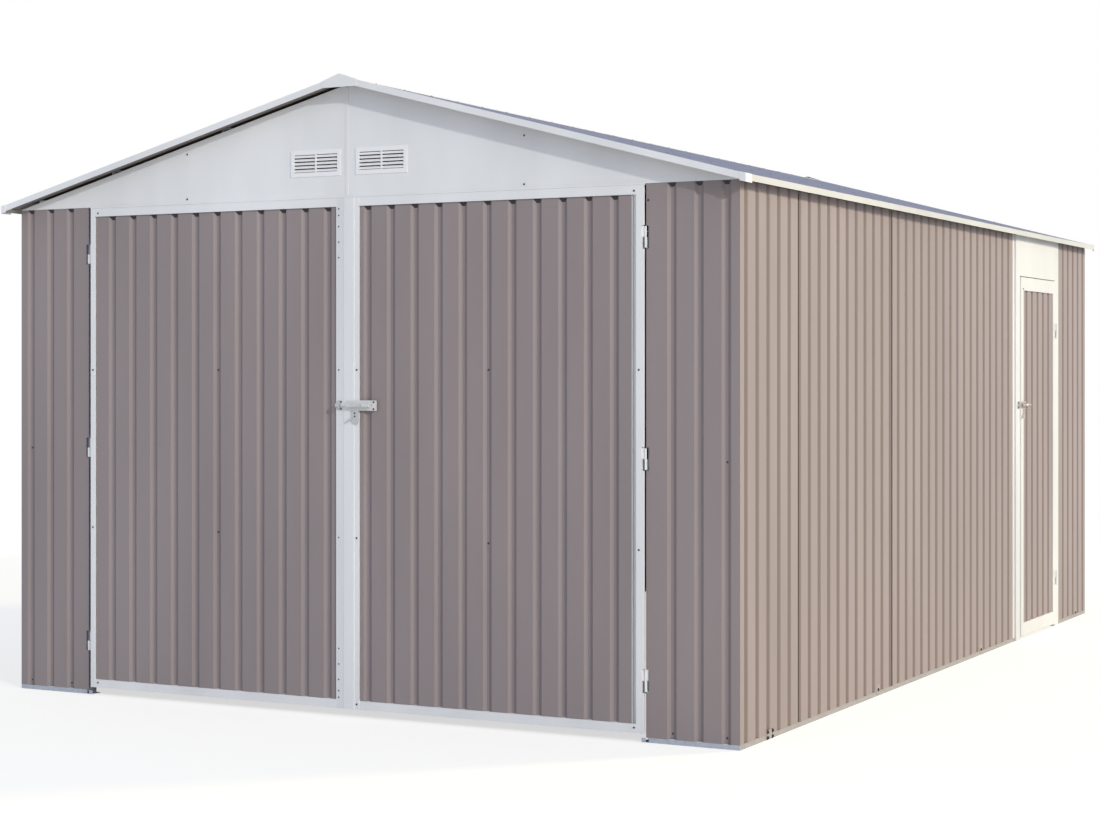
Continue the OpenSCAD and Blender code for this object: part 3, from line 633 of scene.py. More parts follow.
def end_wall_screws(facing):
    """Screws of the front strips or of the back wall, in the grooves. The strips have
    them at the foot, halfway up at the corner, and one beside the right-hand leaf."""
    floor = abs(FRONT_Y) - GROOVE_DEPTH
    if facing.y > 0:
        spots = [(index, z) for index in range(0, END_GROOVES, 2) for z in WALL_LEVELS]
    else:
        spots = [(index, WALL_LEVELS[0]) for index in (0, 2, 28, 30)]
        spots += [(index, WALL_LEVELS[1]) for index in (0, 30)]
        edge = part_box("front_wall_right")[0].x
        yield Vector((edge + 9 * MM, FRONT_Y, STRIP_TOP_SCREW)), facing
    for index, z in spots:
        yield Vector((groove_x(index), facing.y * floor, z)), facing


def side_wall_screws(facing):
    """Screws of a side wall, in every second groove, clear of the walk-in door."""
    x = facing.x * (SIDE_X - GROOVE_DEPTH)
    door = (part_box("right_wall_front")[1].y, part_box("right_wall_rear")[0].y)
    for index in range(0, SIDE_GROOVES, 2):
        y = groove_y(index)
        if facing.x > 0 and door[0] < y < door[1]:
            continue
        for z in WALL_LEVELS[1:]:
            yield Vector((x, y, z)), facing


def gable_screws(facing):
    """Two pairs of screws on each gable, where it is fixed to the header and a rafter."""
    for x in (-GABLE_SCREW_X, GABLE_SCREW_X):
        for z in GABLE_LEVELS:
            yield Vector((x, facing.y * abs(FRONT_Y), z)), facing


def vent_screws(facing):
    """One screw at each end of each vent."""
    lo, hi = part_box("front_vents")
    y = facing.y * (abs(FRONT_Y) + VENT_PROUD)
    outer = hi.x - VENT_EDGE
    inner = hi.x - VENT_WIDTH + VENT_EDGE
    for x in (outer, inner, -inner, -outer):
        yield Vector((x, y, (lo.z + hi.z) / 2)), facing


def roof_screws():
    """Screws through the roof sheets into the purlins and the wall plates."""
    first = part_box("roof_right")[0].y + PITCH
    for side in (-1, 1):
        out = Vector((side * math.sin(ROOF_TILT), 0, math.cos(ROOF_TILT)))
        for down in ROOF_SCREW_LINES:
            x = down * math.cos(ROOF_TILT)
            z = APEX_Z - down * math.sin(ROOF_TILT)
            for index in range(0, SIDE_GROOVES, 2):
                yield Vector((side * x, first + index * PITCH, z)), out


def leaf_screws(node):
    """Screws of a front leaf: at its outer corners, at the lower inner corner of the
    right-hand one, on its hinge stile, and through a groove of its panel into the two
    rails behind it."""
    lo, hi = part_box(node)
    right = node == "right_door_frame"
    for z in (lo.z + RAIL_EDGE, hi.z - RAIL_EDGE):
        yield Vector((CORNER_X[node], LEAF_FRONT, z)), FRONT
    if right:
        yield Vector((INNER_CORNER_X, LEAF_FRONT - 1.5 * MM, lo.z + RAIL_EDGE)), FRONT
    groove = (LEAF_FIRST + LEAF_SCREW_GROOVE * PITCH) * (1 if right else -1)
    for z in RAIL_LEVELS:
        yield Vector((STILE_X[node], LEAF_FRONT, z)), FRONT
        yield Vector((groove, LEAF_FRONT + 16 * MM, z)), FRONT


def meeting_stile_screws():
    """Screws of the left leaf's meeting stile: five at each end, closer together towards
    the corner, and one at each rail behind the panel."""
    lo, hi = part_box("left_door_frame")
    levels = [z for off in STILE_ENDS for z in (lo.z + off * MM, hi.z - off * MM)]
    for z in (*levels, *RAIL_LEVELS):
        yield Vector((MEETING_STILE_X, LEAF_FRONT, z)), FRONT


def cover_strip_screws():
    """Screws down the flange of the cover strip, at the rails."""
    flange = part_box("door_cover_strip")[1].x - 10 * MM
    for z in RAIL_LEVELS:
        yield Vector((flange, LEAF_FRONT - 1.5 * MM, z)), FRONT


def side_leaf_screws():
    """One screw at the top of the walk-in leaf, above the bolt."""
    lo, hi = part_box("side_door_panel")
    yield Vector((hi.x + 6 * MM, lo.y - 8 * MM, hi.z + 8 * MM)), RIGHT


def bolt_plate_screws(node, out, edge):
    """Two screws on a plate of a bolt, one above the other; edge is their distance from
    the plate's outer end, and is negative at the end nearest the joint."""
    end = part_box(node)[0 if edge < 0 else 1]
    stand = BOLTS[node]["stand"] * MM
    middle, half = (FRONT_BOLT_Z, 14 * MM) if out.y else (SIDE_BOLT_Z, 13 * MM)
    for z in (middle - half, middle + half):
        if out.y:
            yield Vector((end.x - edge, FRONT_Y - stand, z)), out
        else:
            yield Vector((SIDE_X + stand, end.y - edge, z)), out


def rail_anchors():
    """Anchor bolts of the side base rails: a pair near the front corner, low on the
    lip, and single ones higher up, each over a round plate."""
    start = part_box("base_rail_right")[0].y
    for way in (RIGHT, LEFT):
        for along in BRACKET_BOLTS:
            for z in BRACKET_LEVELS:
                yield Vector((way.x * (SIDE_X + BRACKET), start + along, z)), way
        for y in ANCHOR_PLATES:
            yield Vector((way.x * (SIDE_X + ANCHOR_PLATE_T), y, ANCHOR_LEVEL)), way


# ------------------------------------------------------------------- properties


def length_property(name, description, value):
    """A property that holds a length in metres."""
    return FloatProperty(name=name, description=description, unit="LENGTH", default=value)


def colour_property(name, description, code):
    """A property that holds the colour of a paint, from its sRGB hex."""
    limits = {"min": 0.0, "max": 1.0, "default": linear(code)[:3]}
    return FloatVectorProperty(name=name, description=description, subtype="COLOR", **limits)


class GaragePaint(bpy.types.PropertyGroup):
    """Colours of the painted steel."""

    walls: colour_property("Walls", "Paint of the ribbed wall and door sheets", "#9b8e8c")
    trims: colour_property(
        "Trims", "Paint of the front door frames, the gables and the verge trims", "#f2f0ee"
    )
    # A darker copy of the trim paint, for the walk-in door's frame and casing, as painted
    # shade
    side_shaded_trims: colour_property(
        "Side trims", "Paint of the walk-in door's frame and casing", "#dddddc"
    )
    roof: colour_property("Roof", "Paint of the roof sheets", "#8c8ea3")


class GarageScrews(bpy.types.PropertyGroup):
    """Sizes of the screws that fix the sheets."""

    head: length_property(
        "Head radius", "Radius over the corners of the hexagon head", 3.0 * MM
    )
    height: length_property("Head height", "Height of the head", 2.0 * MM)
    washer: length_property("Washer radius", "Radius of the sealing washer", 4.0 * MM)
    thickness: length_property("Washer height", "Thickness of the sealing washer", 1.4 * MM)
    anchor: length_property(
        "Anchor washer", "Radius of the washers on the base rail", 8.5 * MM
    )


class GarageVents(bpy.types.PropertyGroup):
    """Sizes of the gable vents."""

    rim: length_property("Rim", "Width of the rim round the slats", 18 * MM)
    mullion: length_property("Mullion", "Width of the bar between the two halves", 8 * MM)
    slats: IntProperty(name="Slats", description="Slats one above the other", default=5)
    tilt: FloatProperty(
        name="Tilt",
        description="Lean of a slat",
        subtype="ANGLE",
        default=math.radians(-35),
    )


class GarageSheets(bpy.types.PropertyGroup):
    """Laps between the sheets."""

    lap: length_property("Lap", "Width of a folded edge", 22 * MM)
    proud: length_property("Lap height", "How far a folded edge stands out", 4 * MM)
    # The sealant at a lap is a dark line of painted shade
    sealant: length_property("Sealant", "Width of the sealant at a lap", 3 * MM)
    past: length_property(
        "Past the groove", "Distance from the middle of the groove to the folded edge", 20 * MM
    )
    seam: length_property("Seam", "Width of the lap of the two gable sheets", 14 * MM)


class GarageBolts(bpy.types.PropertyGroup):
    """Sizes of the slide bolts."""

    barrel: length_property("Barrel", "Outer radius of the half-round barrel", 9.2 * MM)
    bore: length_property("Bore", "Inner radius of the barrel", 6.4 * MM)
    # A dark disc over each hole of the hasp
    rivet: length_property("Rivet", "Radius of a rivet in the hasp", 3.8 * MM)


class GarageStage(bpy.types.PropertyGroup):
    """Camera and light."""

    azimuth: FloatProperty(
        name="View direction",
        description="Turn of the camera from straight ahead",
        subtype="ANGLE",
        default=math.radians(27.87),
    )
    lens: FloatProperty(
        name="Lens",
        description="Focal length",
        subtype="DISTANCE_CAMERA",
        default=71.8,
    )
    eye: FloatVectorProperty(
        name="Eye",
        description="Place of the camera",
        subtype="XYZ",
        default=(4.758, -9.985, 1.385),
    )
    key: FloatProperty(
        name="Key light",
        description="Strength of the lamp from the right-hand front",
        default=1.1,
    )
    graze: FloatProperty(
        name="Grazing light",
        description="Strength of the wide lamp beside the key",
        default=0.6,
    )
    side: FloatProperty(
        name="Side light",
        description="Strength of the wide lamp from the right-hand back",
        default=2.0,
    )
    fill: FloatProperty(name="Fill light", description="Strength of the sky", default=0.645)


# -------------------------------------------------------------------- operators


class GARAGE_OT_paint(bpy.types.Operator):
    """Gives every piece of the frame its finish"""

    bl_idname = "garage.paint"
    bl_label = "Finish the frame"

    def execute(self, context):
        finishes = {
            "taupe": "coil_coated_taupe",
            "off_white": "coil_coated_white",
            "slate_blue": "coil_coated_slate",
            "galvanised": "galvanised_steel",
            "zinc": "zinc_plated_steel",
        }
        # Finishes of single pieces; the darker copies of paint and zinc here, and the darkened
        # grooves of the long walls, are painted shade
        special = {
            "galvanised_posts_white_hinges": ("front_door_posts",),
            "coil_coated_cream": ("side_door_posts", "side_door_transom", "side_door_frame"),
            "coil_coated_cream_shaded": ("eave_trims",),
            "coil_coated_taupe_long_walls": SIDE_WALLS,
            "coil_coated_taupe_walk_in_door": ("side_door_panel",),
            "galvanised_steel_weathered": ("base_rail_left", "base_rail_right"),
        }
        subparts = frame["record"]["subparts"]
        chosen = {part["node"]: finishes[part["material_slot"]] for part in subparts}
        chosen.update({name: kind for kind, names in special.items() for name in names})
        for name, node in frame["nodes"].items():
            node.data.materials.clear()
            node.data.materials.append(finish(chosen[name]))
        return {"FINISHED"}


class GARAGE_OT_screws(bpy.types.Operator):
    """Sets the screws of the walls, the roof and the doors, one mesh for each body"""

    bl_idname = "garage.screws"
    bl_label = "Screws"

    def execute(self, context):
        sizes = context.scene.garage_screws
        # The screws are dark grey all over: their washers are black rubber, and on the zinc
        # heads the dark grey is painted shade
        values = {
            "Head radius": sizes.head,
            "Head height": sizes.height,
            "Washer radius": sizes.washer,
            "Washer height": sizes.thickness,
            "Finish": finish("dark_screw_steel"),
        }
        tree = screw_tree()
        sets = {
            "building": [
                *end_wall_screws(FRONT),
                *end_wall_screws(BACK),
                *side_wall_screws(RIGHT),
                *side_wall_screws(LEFT),
                *gable_screws(FRONT),
                *gable_screws(BACK),
                *bolt_plate_screws("side_bolt_keeper", RIGHT, -5 * MM),
            ],
            "left_door": [
                *leaf_screws("left_door_frame"),
                *meeting_stile_screws(),
                *bolt_plate_screws("front_bolt_keeper", FRONT, -20 * MM),
            ],
            "right_door": [
                *leaf_screws("right_door_frame"),
                *cover_strip_screws(),
                *bolt_plate_screws("front_bolt_body", FRONT, 13 * MM),
            ],
            "side_door": [
                *side_leaf_screws(),
                *bolt_plate_screws("side_bolt_body", RIGHT, 6 * MM),
            ],
        }
        for body, spots in sets.items():
            self.plant(f"screws_{body}", spots, tree, values, "zinc", body)
        # The vents' screws are white, the roof's are painted and the anchors are larger
        white = {**values, "Finish": finish("abs_plastic_white")}
        spots = [*vent_screws(FRONT), *vent_screws(BACK)]
        self.plant("screws_vents", spots, tree, white, "off_white", "building")
        painted = {**values, "Finish": finish("slate_screw_steel")}
        self.plant("screws_roof", roof_screws(), tree, painted, "slate_blue", "building")
        large = {
            **values,
            "Head radius": sizes.anchor * 0.55,
            "Head height": sizes.anchor * 0.5,
            "Washer radius": sizes.anchor,
        }
        self.plant("anchor_bolts", rail_anchors(), tree, large, "zinc", "building")
        return {"FINISHED"}

    def plant(self, name, spots, tree, values, slot, body):
        """Sets a screw on every spot, which is a place and the way the screw faces."""
        points, ways = zip(*spots)
        keep(grow(name, points, tree, values, ways), slot, body)


class GARAGE_OT_vents(bpy.types.Operator):
    """Makes the louvred vents of the two gables"""

    bl_idname = "garage.vents"
    bl_label = "Gable vents"

    def execute(self, context):
        sizes = context.scene.garage_vents
        kept = ("off_white", "building")
        tree = louvre_tree()
        for node, way in (("front_vents", -1), ("back_vents", 1)):
            lo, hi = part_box(node)
            width = (hi.x - lo.x - VENT_GAP) / 2
            height = hi.z - lo.z
            bm = bmesh.new()
            spots = []
            for side in (-1, 1):
                x = side * (hi.x - width / 2)
                middle = Vector((x, way * abs(FRONT_Y), (lo.z + hi.z) / 2))
                self.rim(bm, middle, way, width, height, sizes)
                spots.extend(self.slat_places(middle, way, height, sizes))
            rim = piece(node, bm, "abs_plastic_white", *kept, 0.8 * MM)
            gap = height - 2 * sizes.rim
            values = {
                "Slat width": width - 2 * sizes.rim + 1 * MM,
                "Slat depth": gap / sizes.slats * 0.86,
                "Slat thickness": 1.4 * MM,
                "Tilt": -way * sizes.tilt,
                "Finish": finish("abs_plastic_white"),
            }
            keep(grow(f"{node}_slats", spots, tree, values), *kept)
            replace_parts(rim, node)
        return {"FINISHED"}

    def rim(self, bm, middle, way, width, height, sizes):
        """Adds the frame of one vent: four bars and the bar in the middle."""
        inner_w = width / 2 - sizes.rim
        inner_h = height / 2 - sizes.rim
        front = middle.y + way * VENT_PROUD
        y0, y1 = min(front, middle.y), max(front, middle.y)
        spans = (
            (-width / 2, width / 2, inner_h, height / 2),
            (-width / 2, width / 2, -height / 2, -inner_h),
            (-width / 2, -inner_w, -inner_h, inner_h),
            (inner_w, width / 2, -inner_h, inner_h),
            (-sizes.mullion / 2, sizes.mullion / 2, -inner_h, inner_h),
        )
        for x0, x1, z0, z1 in spans:
            low = (middle.x + x0, y0, middle.z + z0)
            box_into(bm, low, (middle.x + x1, y1, middle.z + z1))

    def slat_places(self, middle, way, height, sizes):
        """Middles of the slats of one vent."""
        step = (height - 2 * sizes.rim) / sizes.slats
        for k in range(sizes.slats):
            z = middle.z + (k - (sizes.slats - 1) / 2) * step
            yield Vector((middle.x, middle.y + way * 0.5 * MM, z))


class GARAGE_OT_sheets(bpy.types.Operator):
    """Adds the lapped edges of the sheets, the gable seams and the strips at the doors"""

    bl_idname = "garage.sheets"
    bl_label = "Laps and strips"

    def execute(self, context):
        sizes = context.scene.garage_sheets
        self.laps(sizes)
        self.seams(sizes)
        self.strips()
        self.door_edges()
        self.shade_plugs()
        self.upstands()
        self.pin_ends()
        self.anchor_plates()
        return {"FINISHED"}

    def laps(self, sizes):
        """Each sheet ends in a folded edge that stands up just past a groove of the
        next one, with a dark line of sealant in the step. One groove of each side wall has
        a dark cord of sealant in the corner of its floor. The sealant and the cord are
        painted shade."""
        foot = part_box("base_rail_right")[1].z
        top = WALL_TOP - 9 * MM
        bm, shade_lines = bmesh.new(), bmesh.new()
        faces = (
            (RIGHT, RIGHT_LAPS, groove_y, Vector((SIDE_X, 0, 0))),
            (LEFT, LEFT_LAPS, lambda k: -groove_y(k), Vector((-SIDE_X, 0, 0))),
            (BACK, BACK_LAPS, lambda k: -groove_x(k), Vector((0, -FRONT_Y, 0))),
        )
        for out, which, where, origin in faces:
            place = on_wall(origin, out)
            for index in which:
                edge = where(index) + sizes.past
                box_into(bm, (edge, foot, 0), (edge + sizes.lap, top, sizes.proud), place)
                low = (edge - sizes.sealant, foot, -0.2 * MM)
                box_into(shade_lines, low, (edge + 0.5 * MM, top, 0.4 * MM), place)
        for out, which, where, origin in faces[:2]:
            edge = where(SHADE_CORD_GROOVE) + out.x * 10 * MM
            low = (edge - 2 * MM, foot, 0.2 * MM - GROOVE_DEPTH)
            high = (edge + 2 * MM, top, 3.2 * MM - GROOVE_DEPTH)
            box_into(shade_lines, low, high, on_wall(origin, out))
        piece("sheet_laps", bm, "coil_coated_taupe", "taupe", "building", 0.6 * MM, 1)
        piece("lap_painted_shade", shade_lines, "butyl_sealant_brown", "taupe", "building")

    def seams(self, sizes):
        """The right-hand sheet of each gable laps the left-hand one at the middle."""
        bm = bmesh.new()
        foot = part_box("front_gable")[0].z
        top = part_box("ridge_end_caps")[0].z + 8 * MM
        for out in (FRONT, BACK):
            place = on_wall(Vector((0, out.y * abs(FRONT_Y), 0)), out)
            box_into(bm, (-sizes.seam, foot, 0), (0, top, 1.6 * MM), place)
        piece("gable_seams", bm, "coil_coated_white", "off_white", "building", 0.5 * MM)

    def strips(self):
        """A strip hangs from the front gable down to the leaves, and a seal on the
        right-hand leaf fills the joint between the two."""
        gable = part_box("front_gable")[0]
        left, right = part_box("left_door_frame"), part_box("right_door_frame")
        low = (left[0].x + 8 * MM, LEAF_FRONT + 1 * MM, left[1].z + 0.6 * MM)
        high = (right[1].x - 8 * MM, gable.y + 1 * MM, gable.z + 2 * MM)
        white = "coil_coated_white"
        bars("gable_drip_strip", [(low, high)], white, "off_white", "building")
        low = (left[1].x + 1 * MM, LEAF_FRONT - 3.6 * MM, right[0].z)
        high = (right[0].x, LEAF_FRONT + 8 * MM, right[1].z)
        bars("meeting_seal", [(low, high)], white, "off_white", "right_door")

    def door_edges(self):
        """The folded edges of the doors: a ramp on the left-hand leaf up to the cover
        strip, a flange down the hinge side of the right-hand leaf, broken at the hinges, a
        channel over the end of its panel, and a seal on the walk-in leaf. The channel and
        the seal are in darker copies of the trim paint, which are painted shade."""
        self.ramp()
        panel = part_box("right_door_panel")
        low = (panel[1].x + 0.2 * MM, panel[0].y - 1 * MM, panel[0].z)
        high = (panel[1].x + 3 * MM, panel[1].y - 0.5 * MM, panel[1].z)
        shaded = "coil_coated_cream_shaded"
        bars("right_panel_channel", [(low, high)], shaded, "off_white", "right_door")
        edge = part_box("right_door_frame")[1].x
        lengths = [
            (
                (edge - 18 * MM, LEAF_FRONT, foot * MM),
                (edge - 7 * MM, LEAF_FRONT + 6 * MM, head * MM),
            )
            for foot, head in FLANGE_LENGTHS
        ]
        white = "coil_coated_white"
        bars("right_leaf_flange", lengths, white, "off_white", "right_door", 0.8 * MM)
        lo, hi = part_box("side_door_frame")
        low = (SIDE_X + 3 * MM, lo.y - 4.2 * MM, lo.z + 2 * MM)
        high = (SIDE_X + 12.4 * MM, lo.y + 0.2 * MM, hi.z)
        shaded_side_white = "coil_coated_cream"
        bars("walk_in_door_seal", [(low, high)], shaded_side_white, "off_white", "side_door")

    def ramp(self):
        """A plate on the left-hand leaf that rises from its face to the cover strip."""
        lo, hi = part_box("left_door_frame")
        bm = bmesh.new()
        start = hi.x - 30 * MM
        box_into(bm, (start, LEAF_FRONT - 3.4 * MM, lo.z), (hi.x, LEAF_FRONT, hi.z))
        for vert in bm.verts:
            if vert.co.x < start + 1 * MM and vert.co.y < LEAF_FRONT - 1 * MM:
                vert.co.y = LEAF_FRONT - 0.1 * MM
        piece("meeting_stile_ramp", bm, "coil_coated_white", "off_white", "left_door")

    def shade_plugs(self):
        """Dark rubber plugs that close the top end of each groove, under the rail of a leaf or
        under the gable: wedges as deep as the groove, which are painted shade."""
        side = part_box("side_door_panel")
        leaf = [LEAF_FIRST + k * PITCH for k in range(LEAF_GROOVES)]
        walk_in = [(side[0].y + side[1].y) / 2 + (k - 2) * PITCH for k in range(5)]
        rows = (
            ("left_door_panel", FRONT, [-x for x in leaf], "left_door"),
            ("right_door_panel", FRONT, leaf, "right_door"),
            ("front_wall_left", FRONT, [groove_x(k) for k in (0, 1, 2)], "building"),
            ("front_wall_right", FRONT, [groove_x(k) for k in (28, 29, 30)], "building"),
            ("side_door_panel", RIGHT, walk_in, "side_door"),
        )
        meshes = {}
        for node, out, middles, body in rows:
            lo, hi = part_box(node)
            origin = (0, lo.y, hi.z) if out.y else (hi.x, 0, hi.z)
            place = on_wall(origin, out)
            bm = meshes.setdefault(body, bmesh.new())
            for middle in middles:
                corners = [
                    bm.verts.new(place @ Vector((middle + x * MM, up * MM, depth * MM)))
                    for x, up, depth in SHADE_PLUG
                ]
                bmesh.ops.convex_hull(bm, input=corners)
        for body, bm in meshes.items():
            piece(f"closures_{body}", bm, "epdm_rubber_dark", "zinc", body)

    def upstands(self):
        """The side base rails stand up inside the foot of each groove."""
        inset = 0.7 * MM
        corners = []
        for node in SIDE_WALLS:
            lo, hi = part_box(node)
            low = (lo.x + inset, lo.y + inset, lo.z - 7 * MM)
            corners.append((low, (hi.x - inset, hi.y - inset, lo.z + 1 * MM)))
        # A darker copy of the zinc, as on the side rails: painted shade
        shaded_zinc = "galvanised_steel_weathered"
        bars("rail_upstands", corners, shaded_zinc, "galvanised", "building")

    def pin_ends(self):
        """The hinge pins show as a dark end below each hinge."""
        bm = bmesh.new()
        for x, y in PIN_PLACES:
            for level in HINGE_LEVELS:
                spot = (x, y, (level - 40 - 2.6) * MM)
                disc_into(bm, 3.2 * MM, 3.6 * MM, 5 * MM, Matrix.Translation(spot))
        piece("hinge_pin_ends", bm, "dark_screw_steel", "zinc", "building")

    def anchor_plates(self):
        """A round plate under each of the higher anchor bolts, and a bracket at the
        pair near the front."""
        bm = bmesh.new()
        for way in (RIGHT, LEFT):
            for y in ANCHOR_PLATES:
                x = way.x * (SIDE_X + ANCHOR_PLATE_T / 2)
                place = on_wall((x, y, ANCHOR_LEVEL), way)
                disc_into(bm, 23 * MM, 22 * MM, ANCHOR_PLATE_T, place, 24)
            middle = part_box("base_rail_right")[0].y + BRACKET_MIDDLE
            place = on_wall((way.x * SIDE_X, middle, 0), way)
            box_into(bm, (-36 * MM, 2 * MM, 0), (36 * MM, 35 * MM, BRACKET), place)
        # The plates' warm tint is a painted warm reflection
        piece("anchor_plates", bm, "zinc_passivated_steel_dulled", "zinc", "building")


class GARAGE_OT_bolts(bpy.types.Operator):
    """Makes the plates, the half-round barrels and the hasps of both slide bolts"""

    bl_idname = "garage.bolts"
    bl_label = "Slide bolts"

    def execute(self, context):
        side_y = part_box("side_bolt_body")[0].y - 4 * MM
        for node, bolt in BOLTS.items():
            back = (bolt["stand"] - bolt["thick"]) * MM
            if node.startswith("front"):
                place = on_wall((0, FRONT_Y - back, FRONT_BOLT_Z), FRONT)
            else:
                place = on_wall((SIDE_X + back, side_y, SIDE_BOLT_Z), RIGHT)
            bm = self.plate(place, bolt)
            make = self.body if "slot" in bolt else self.keeper
            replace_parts(make(node, bm, place, bolt), node)
        return {"FINISHED"}

    def plate(self, place, bolt):
        """A plate with rounded corners."""
        (start, end), half = bolt["span"], bolt["half"]
        low, high = (start * MM, -half * MM), (end * MM, half * MM)
        bm = bmesh.new()
        outline = rounded_outline(low, high, (3 * MM,) * 4)
        prism_into(bm, outline, bolt["thick"] * MM, place)
        return bm

    def shell(self, bm, place, start, end, *curve):
        """Adds part of a half-round shell, drawn across the bolt, from start to end."""
        turn = Matrix(((0, 0, 1), (1, 0, 0), (0, 1, 0))).to_4x4()
        across = place @ Matrix.Translation((start * MM, 0, 0)) @ turn
        prism_into(bm, shell_outline(*curve), (end - start) * MM, across)

    def body(self, node, bm, place, bolt):
        """The barrel on its plate, slotted for the handle, and the hasp below it."""
        sizes = bpy.context.scene.garage_bolts
        half, thick, hasp = bolt["half"], bolt["thick"], bolt["hasp"]
        slot_start, slot_end = bolt["slot"]
        curve = (sizes.bore, sizes.barrel, BARREL_AXIS, thick * MM)
        self.shell(bm, place, bolt["span"][0] + 4, slot_start, *curve, 0, 180)
        self.shell(bm, place, slot_start, slot_end, *curve, 0, 54)
        self.shell(bm, place, slot_start, slot_end, *curve, 126, 180)
        self.shell(bm, place, slot_end, bolt["end"], *curve, 0, 180)
        if node == "front_bolt_body":
            # A packer holds the far end of the plate off the panel
            box_into(bm, (116 * MM, -16 * MM, -10 * MM), (132 * MM, 16 * MM, 0), place)
        kept = ("zinc", bolt["rides"], 0.4 * MM)
        made = piece(node, bm, bolt["plating"], *kept)
        lug = bmesh.new()
        low = ((hasp - 18) * MM, -(half + 54) * MM)
        high = ((hasp + 18) * MM, -(half - 1) * MM)
        outline = rounded_outline(low, high, (1 * MM, 1 * MM, 14 * MM, 8 * MM))
        prism_into(lug, outline, (thick - 0.4) * MM, place)
        piece(node + "_hasp", lug, bolt["hasp_plating"], *kept)
        # Two dark discs over the hasp's holes
        hole_discs = bmesh.new()
        for off in (10, 23):
            spot = (hasp * MM, -(half + off) * MM, thick * MM + 0.5 * MM)
            top = sizes.rivet * 0.8
            disc_into(hole_discs, sizes.rivet, top, 1.8 * MM, place @ Matrix.Translation(spot))
        piece(node + "_rivets", hole_discs, "dark_screw_steel", *kept)
        tongue = bmesh.new()
        outline = [((hasp + x) * MM, -(half + y) * MM) for x, y in LEVER]
        prism_into(tongue, outline, 2 * MM, place @ Matrix.Translation((0, 0, thick * MM)))
        piece(node + "_lever", tongue, bolt["hasp_plating"], *kept)
        return made

    def keeper(self, node, bm, place, bolt):
        """The plate on the other side of the joint, with the staple the rod enters."""
        start, end = bolt["staple"]
        curve = (7.1 * MM, bolt["outer"] * MM, bolt["axis"] * MM, bolt["thick"] * MM)
        self.shell(bm, place, start, end, *curve, 0, 180)
        return piece(node, bm, bolt["plating"], "zinc", bolt["rides"], 0.4 * MM)


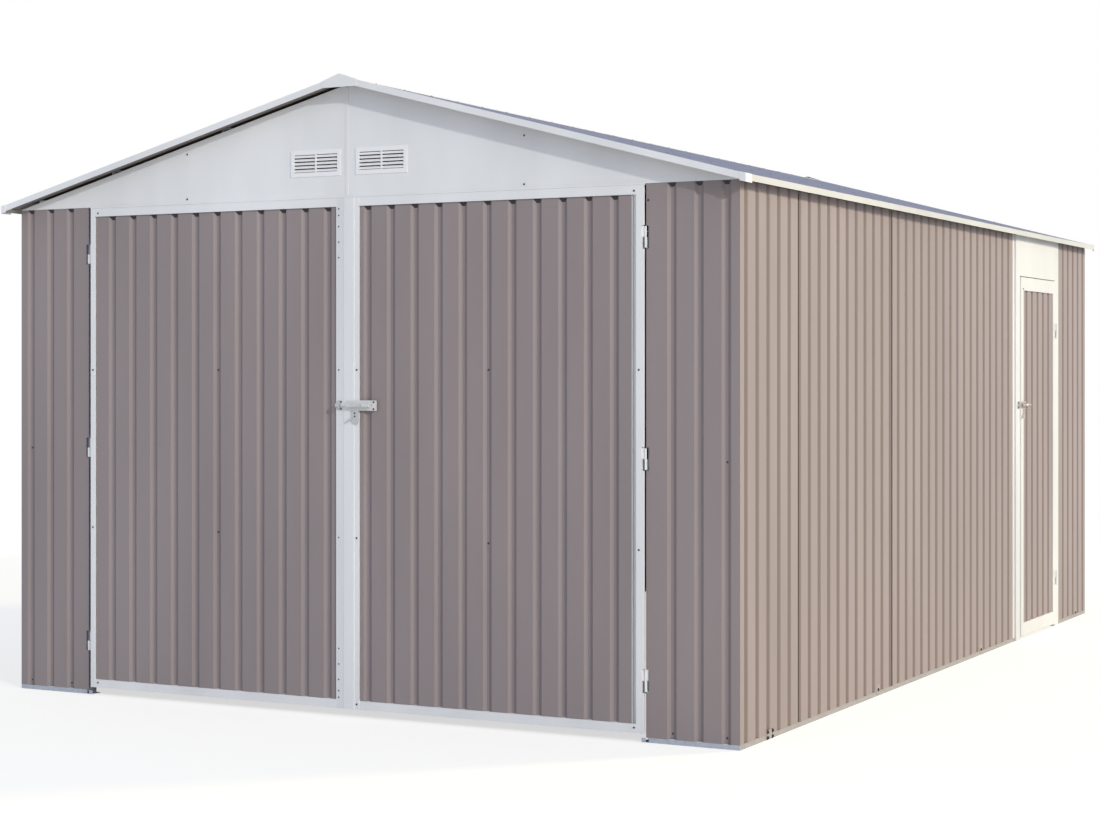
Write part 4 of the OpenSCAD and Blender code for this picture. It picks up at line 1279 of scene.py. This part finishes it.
class GARAGE_OT_stage(bpy.types.Operator):
    """Sets the camera, the lamps and the floor"""

    bl_idname = "garage.stage"
    bl_label = "Camera, light and floor"

    def execute(self, context):
        scene = context.scene
        settings = scene.garage_stage
        self.camera(scene, settings)
        self.lamps(settings)
        self.sky(scene, settings)
        self.floor()
        scene.view_settings.view_transform = "Standard"
        return {"FINISHED"}

    def camera(self, scene, settings):
        """A camera that stands level, with its lens shifted."""
        data = bpy.data.cameras.new("camera")
        data.lens = settings.lens
        data.sensor_width = 36.0
        data.shift_x = SHIFT_X
        data.shift_y = SHIFT_Y
        made = new_object("camera", data)
        made.location = settings.eye
        made.rotation_euler = (math.pi / 2, 0.0, settings.azimuth)
        scene.camera = made

    def lamps(self, settings):
        """A crisp lamp from the right-hand front, a wide one beside it that only grazes
        the front, and a wide one that rakes the side wall from behind, so that the
        grooves of both walls show."""
        self.sun("key", settings.key, (1.67, -1.0, 0.75), 1.5, "#fdfdff")
        self.sun("graze", settings.graze, (3.0, -1.0, 0.8), 25.0, "#ffeecb")
        self.sun("side", settings.side, (1.0, 1.1, 0.5), 8.0, "#ffebb9")

    def sun(self, name, strength, towards, width, code):
        """Adds a lamp that shines from the way towards; width is how wide it looks."""
        data = bpy.data.lights.new(name, "SUN")
        data.energy = strength
        data.angle = math.radians(width)
        data.color = linear(code)[:3]
        made = new_object(name, data)
        made.rotation_euler = Vector(towards).to_track_quat("Z", "Y").to_euler()
        made.location = Vector(towards) * 6

    def sky(self, scene, settings):
        """A pale blue sky that lights the scene, seen by the camera as white."""
        world = bpy.data.worlds.new("sky")
        world.use_nodes = True
        tree = world.node_tree
        tree.nodes.clear()
        to_camera = add(tree, "ShaderNodeLightPath").outputs["Is Camera Ray"]
        blue = {"Color": linear("#dceafe"), "Strength": settings.fill}
        light = put(tree, "ShaderNodeBackground", blue)
        seen = put(tree, "ShaderNodeBackground", {"Color": (1, 1, 1, 1), "Strength": 1.0})
        mixed = put(tree, "ShaderNodeMixShader", {0: to_camera, 1: light, 2: seen})
        add(tree, "ShaderNodeOutputWorld", {"Surface": mixed})
        scene.world = world

    def floor(self):
        """A wide round floor just under the building."""
        bm = bmesh.new()
        bmesh.ops.create_circle(bm, cap_ends=True, segments=96, radius=60.0)
        ground = mesh_object("floor", bm, self.floor_finish())
        ground.location.z = -1.0 * MM

    def floor_finish(self):
        """Pale matt floor. To the camera it is lifted to white, and it keeps the
        shadow; far out it runs into the white of the backdrop."""
        name = "matt_pale_floor"
        tree, place = new_material(name)
        white = (1, 1, 1, 1)
        to_camera = add(tree, "ShaderNodeLightPath").outputs["Is Camera Ray"]
        matt = put(tree, "ShaderNodeBsdfDiffuse", {"Color": linear("#e6e6e6")})
        faint = put(tree, "ShaderNodeBsdfDiffuse", {"Color": linear("#b6b2ab")})
        glow = put(tree, "ShaderNodeEmission", {"Color": white, "Strength": 0.66})
        lifted = put(tree, "ShaderNodeAddShader", {0: faint, 1: glow})
        near = put(tree, "ShaderNodeMixShader", {0: to_camera, 1: matt, 2: lifted})
        reach = add(tree, "ShaderNodeVectorMath", {0: place}, operation="LENGTH")
        away = spread(tree, reach.outputs["Value"], 0.0, 1.0, 5.0, 12.0)
        far = math_node(tree, "MULTIPLY", away, to_camera)
        backdrop = put(tree, "ShaderNodeEmission", {"Color": white, "Strength": 1.0})
        mixed = put(tree, "ShaderNodeMixShader", {0: far, 1: near, 2: backdrop})
        add(tree, "ShaderNodeOutputMaterial", {"Surface": mixed})
        return bpy.data.materials[name]


class GARAGE_PT_panel(bpy.types.Panel):
    """Lists the pieces and their sizes"""

    bl_idname = "GARAGE_PT_panel"
    bl_label = "Metal garage"
    bl_space_type = "VIEW_3D"
    bl_region_type = "UI"
    bl_category = "Garage"

    def draw(self, context):
        layout = self.layout
        for group in GROUPS:
            settings = getattr(context.scene, group)
            column = layout.column()
            for name in settings.__annotations__:
                column.prop(settings, name)
        for maker in OPERATORS:
            layout.operator(maker.bl_idname)


# ----------------------------------------------------------------- registration

GROUPS = {
    "garage_paint": GaragePaint,
    "garage_sheets": GarageSheets,
    "garage_vents": GarageVents,
    "garage_bolts": GarageBolts,
    "garage_screws": GarageScrews,
    "garage_stage": GarageStage,
}
OPERATORS = (
    GARAGE_OT_paint,
    GARAGE_OT_sheets,
    GARAGE_OT_vents,
    GARAGE_OT_bolts,
    GARAGE_OT_screws,
    GARAGE_OT_stage,
)
CLASSES = (*GROUPS.values(), *OPERATORS, GARAGE_PT_panel)


def register():
    for item in CLASSES:
        bpy.utils.register_class(item)
    for name, group in GROUPS.items():
        setattr(bpy.types.Scene, name, PointerProperty(type=group))


def unregister():
    for name in reversed(GROUPS):
        delattr(bpy.types.Scene, name)
    for item in reversed(CLASSES):
        bpy.utils.unregister_class(item)


def main():
    register()
    bpy.ops.garage.paint()
    bpy.ops.garage.sheets()
    bpy.ops.garage.vents()
    bpy.ops.garage.bolts()
    bpy.ops.garage.screws()
    bpy.ops.garage.stage()


if __name__ == "__main__":
    main()
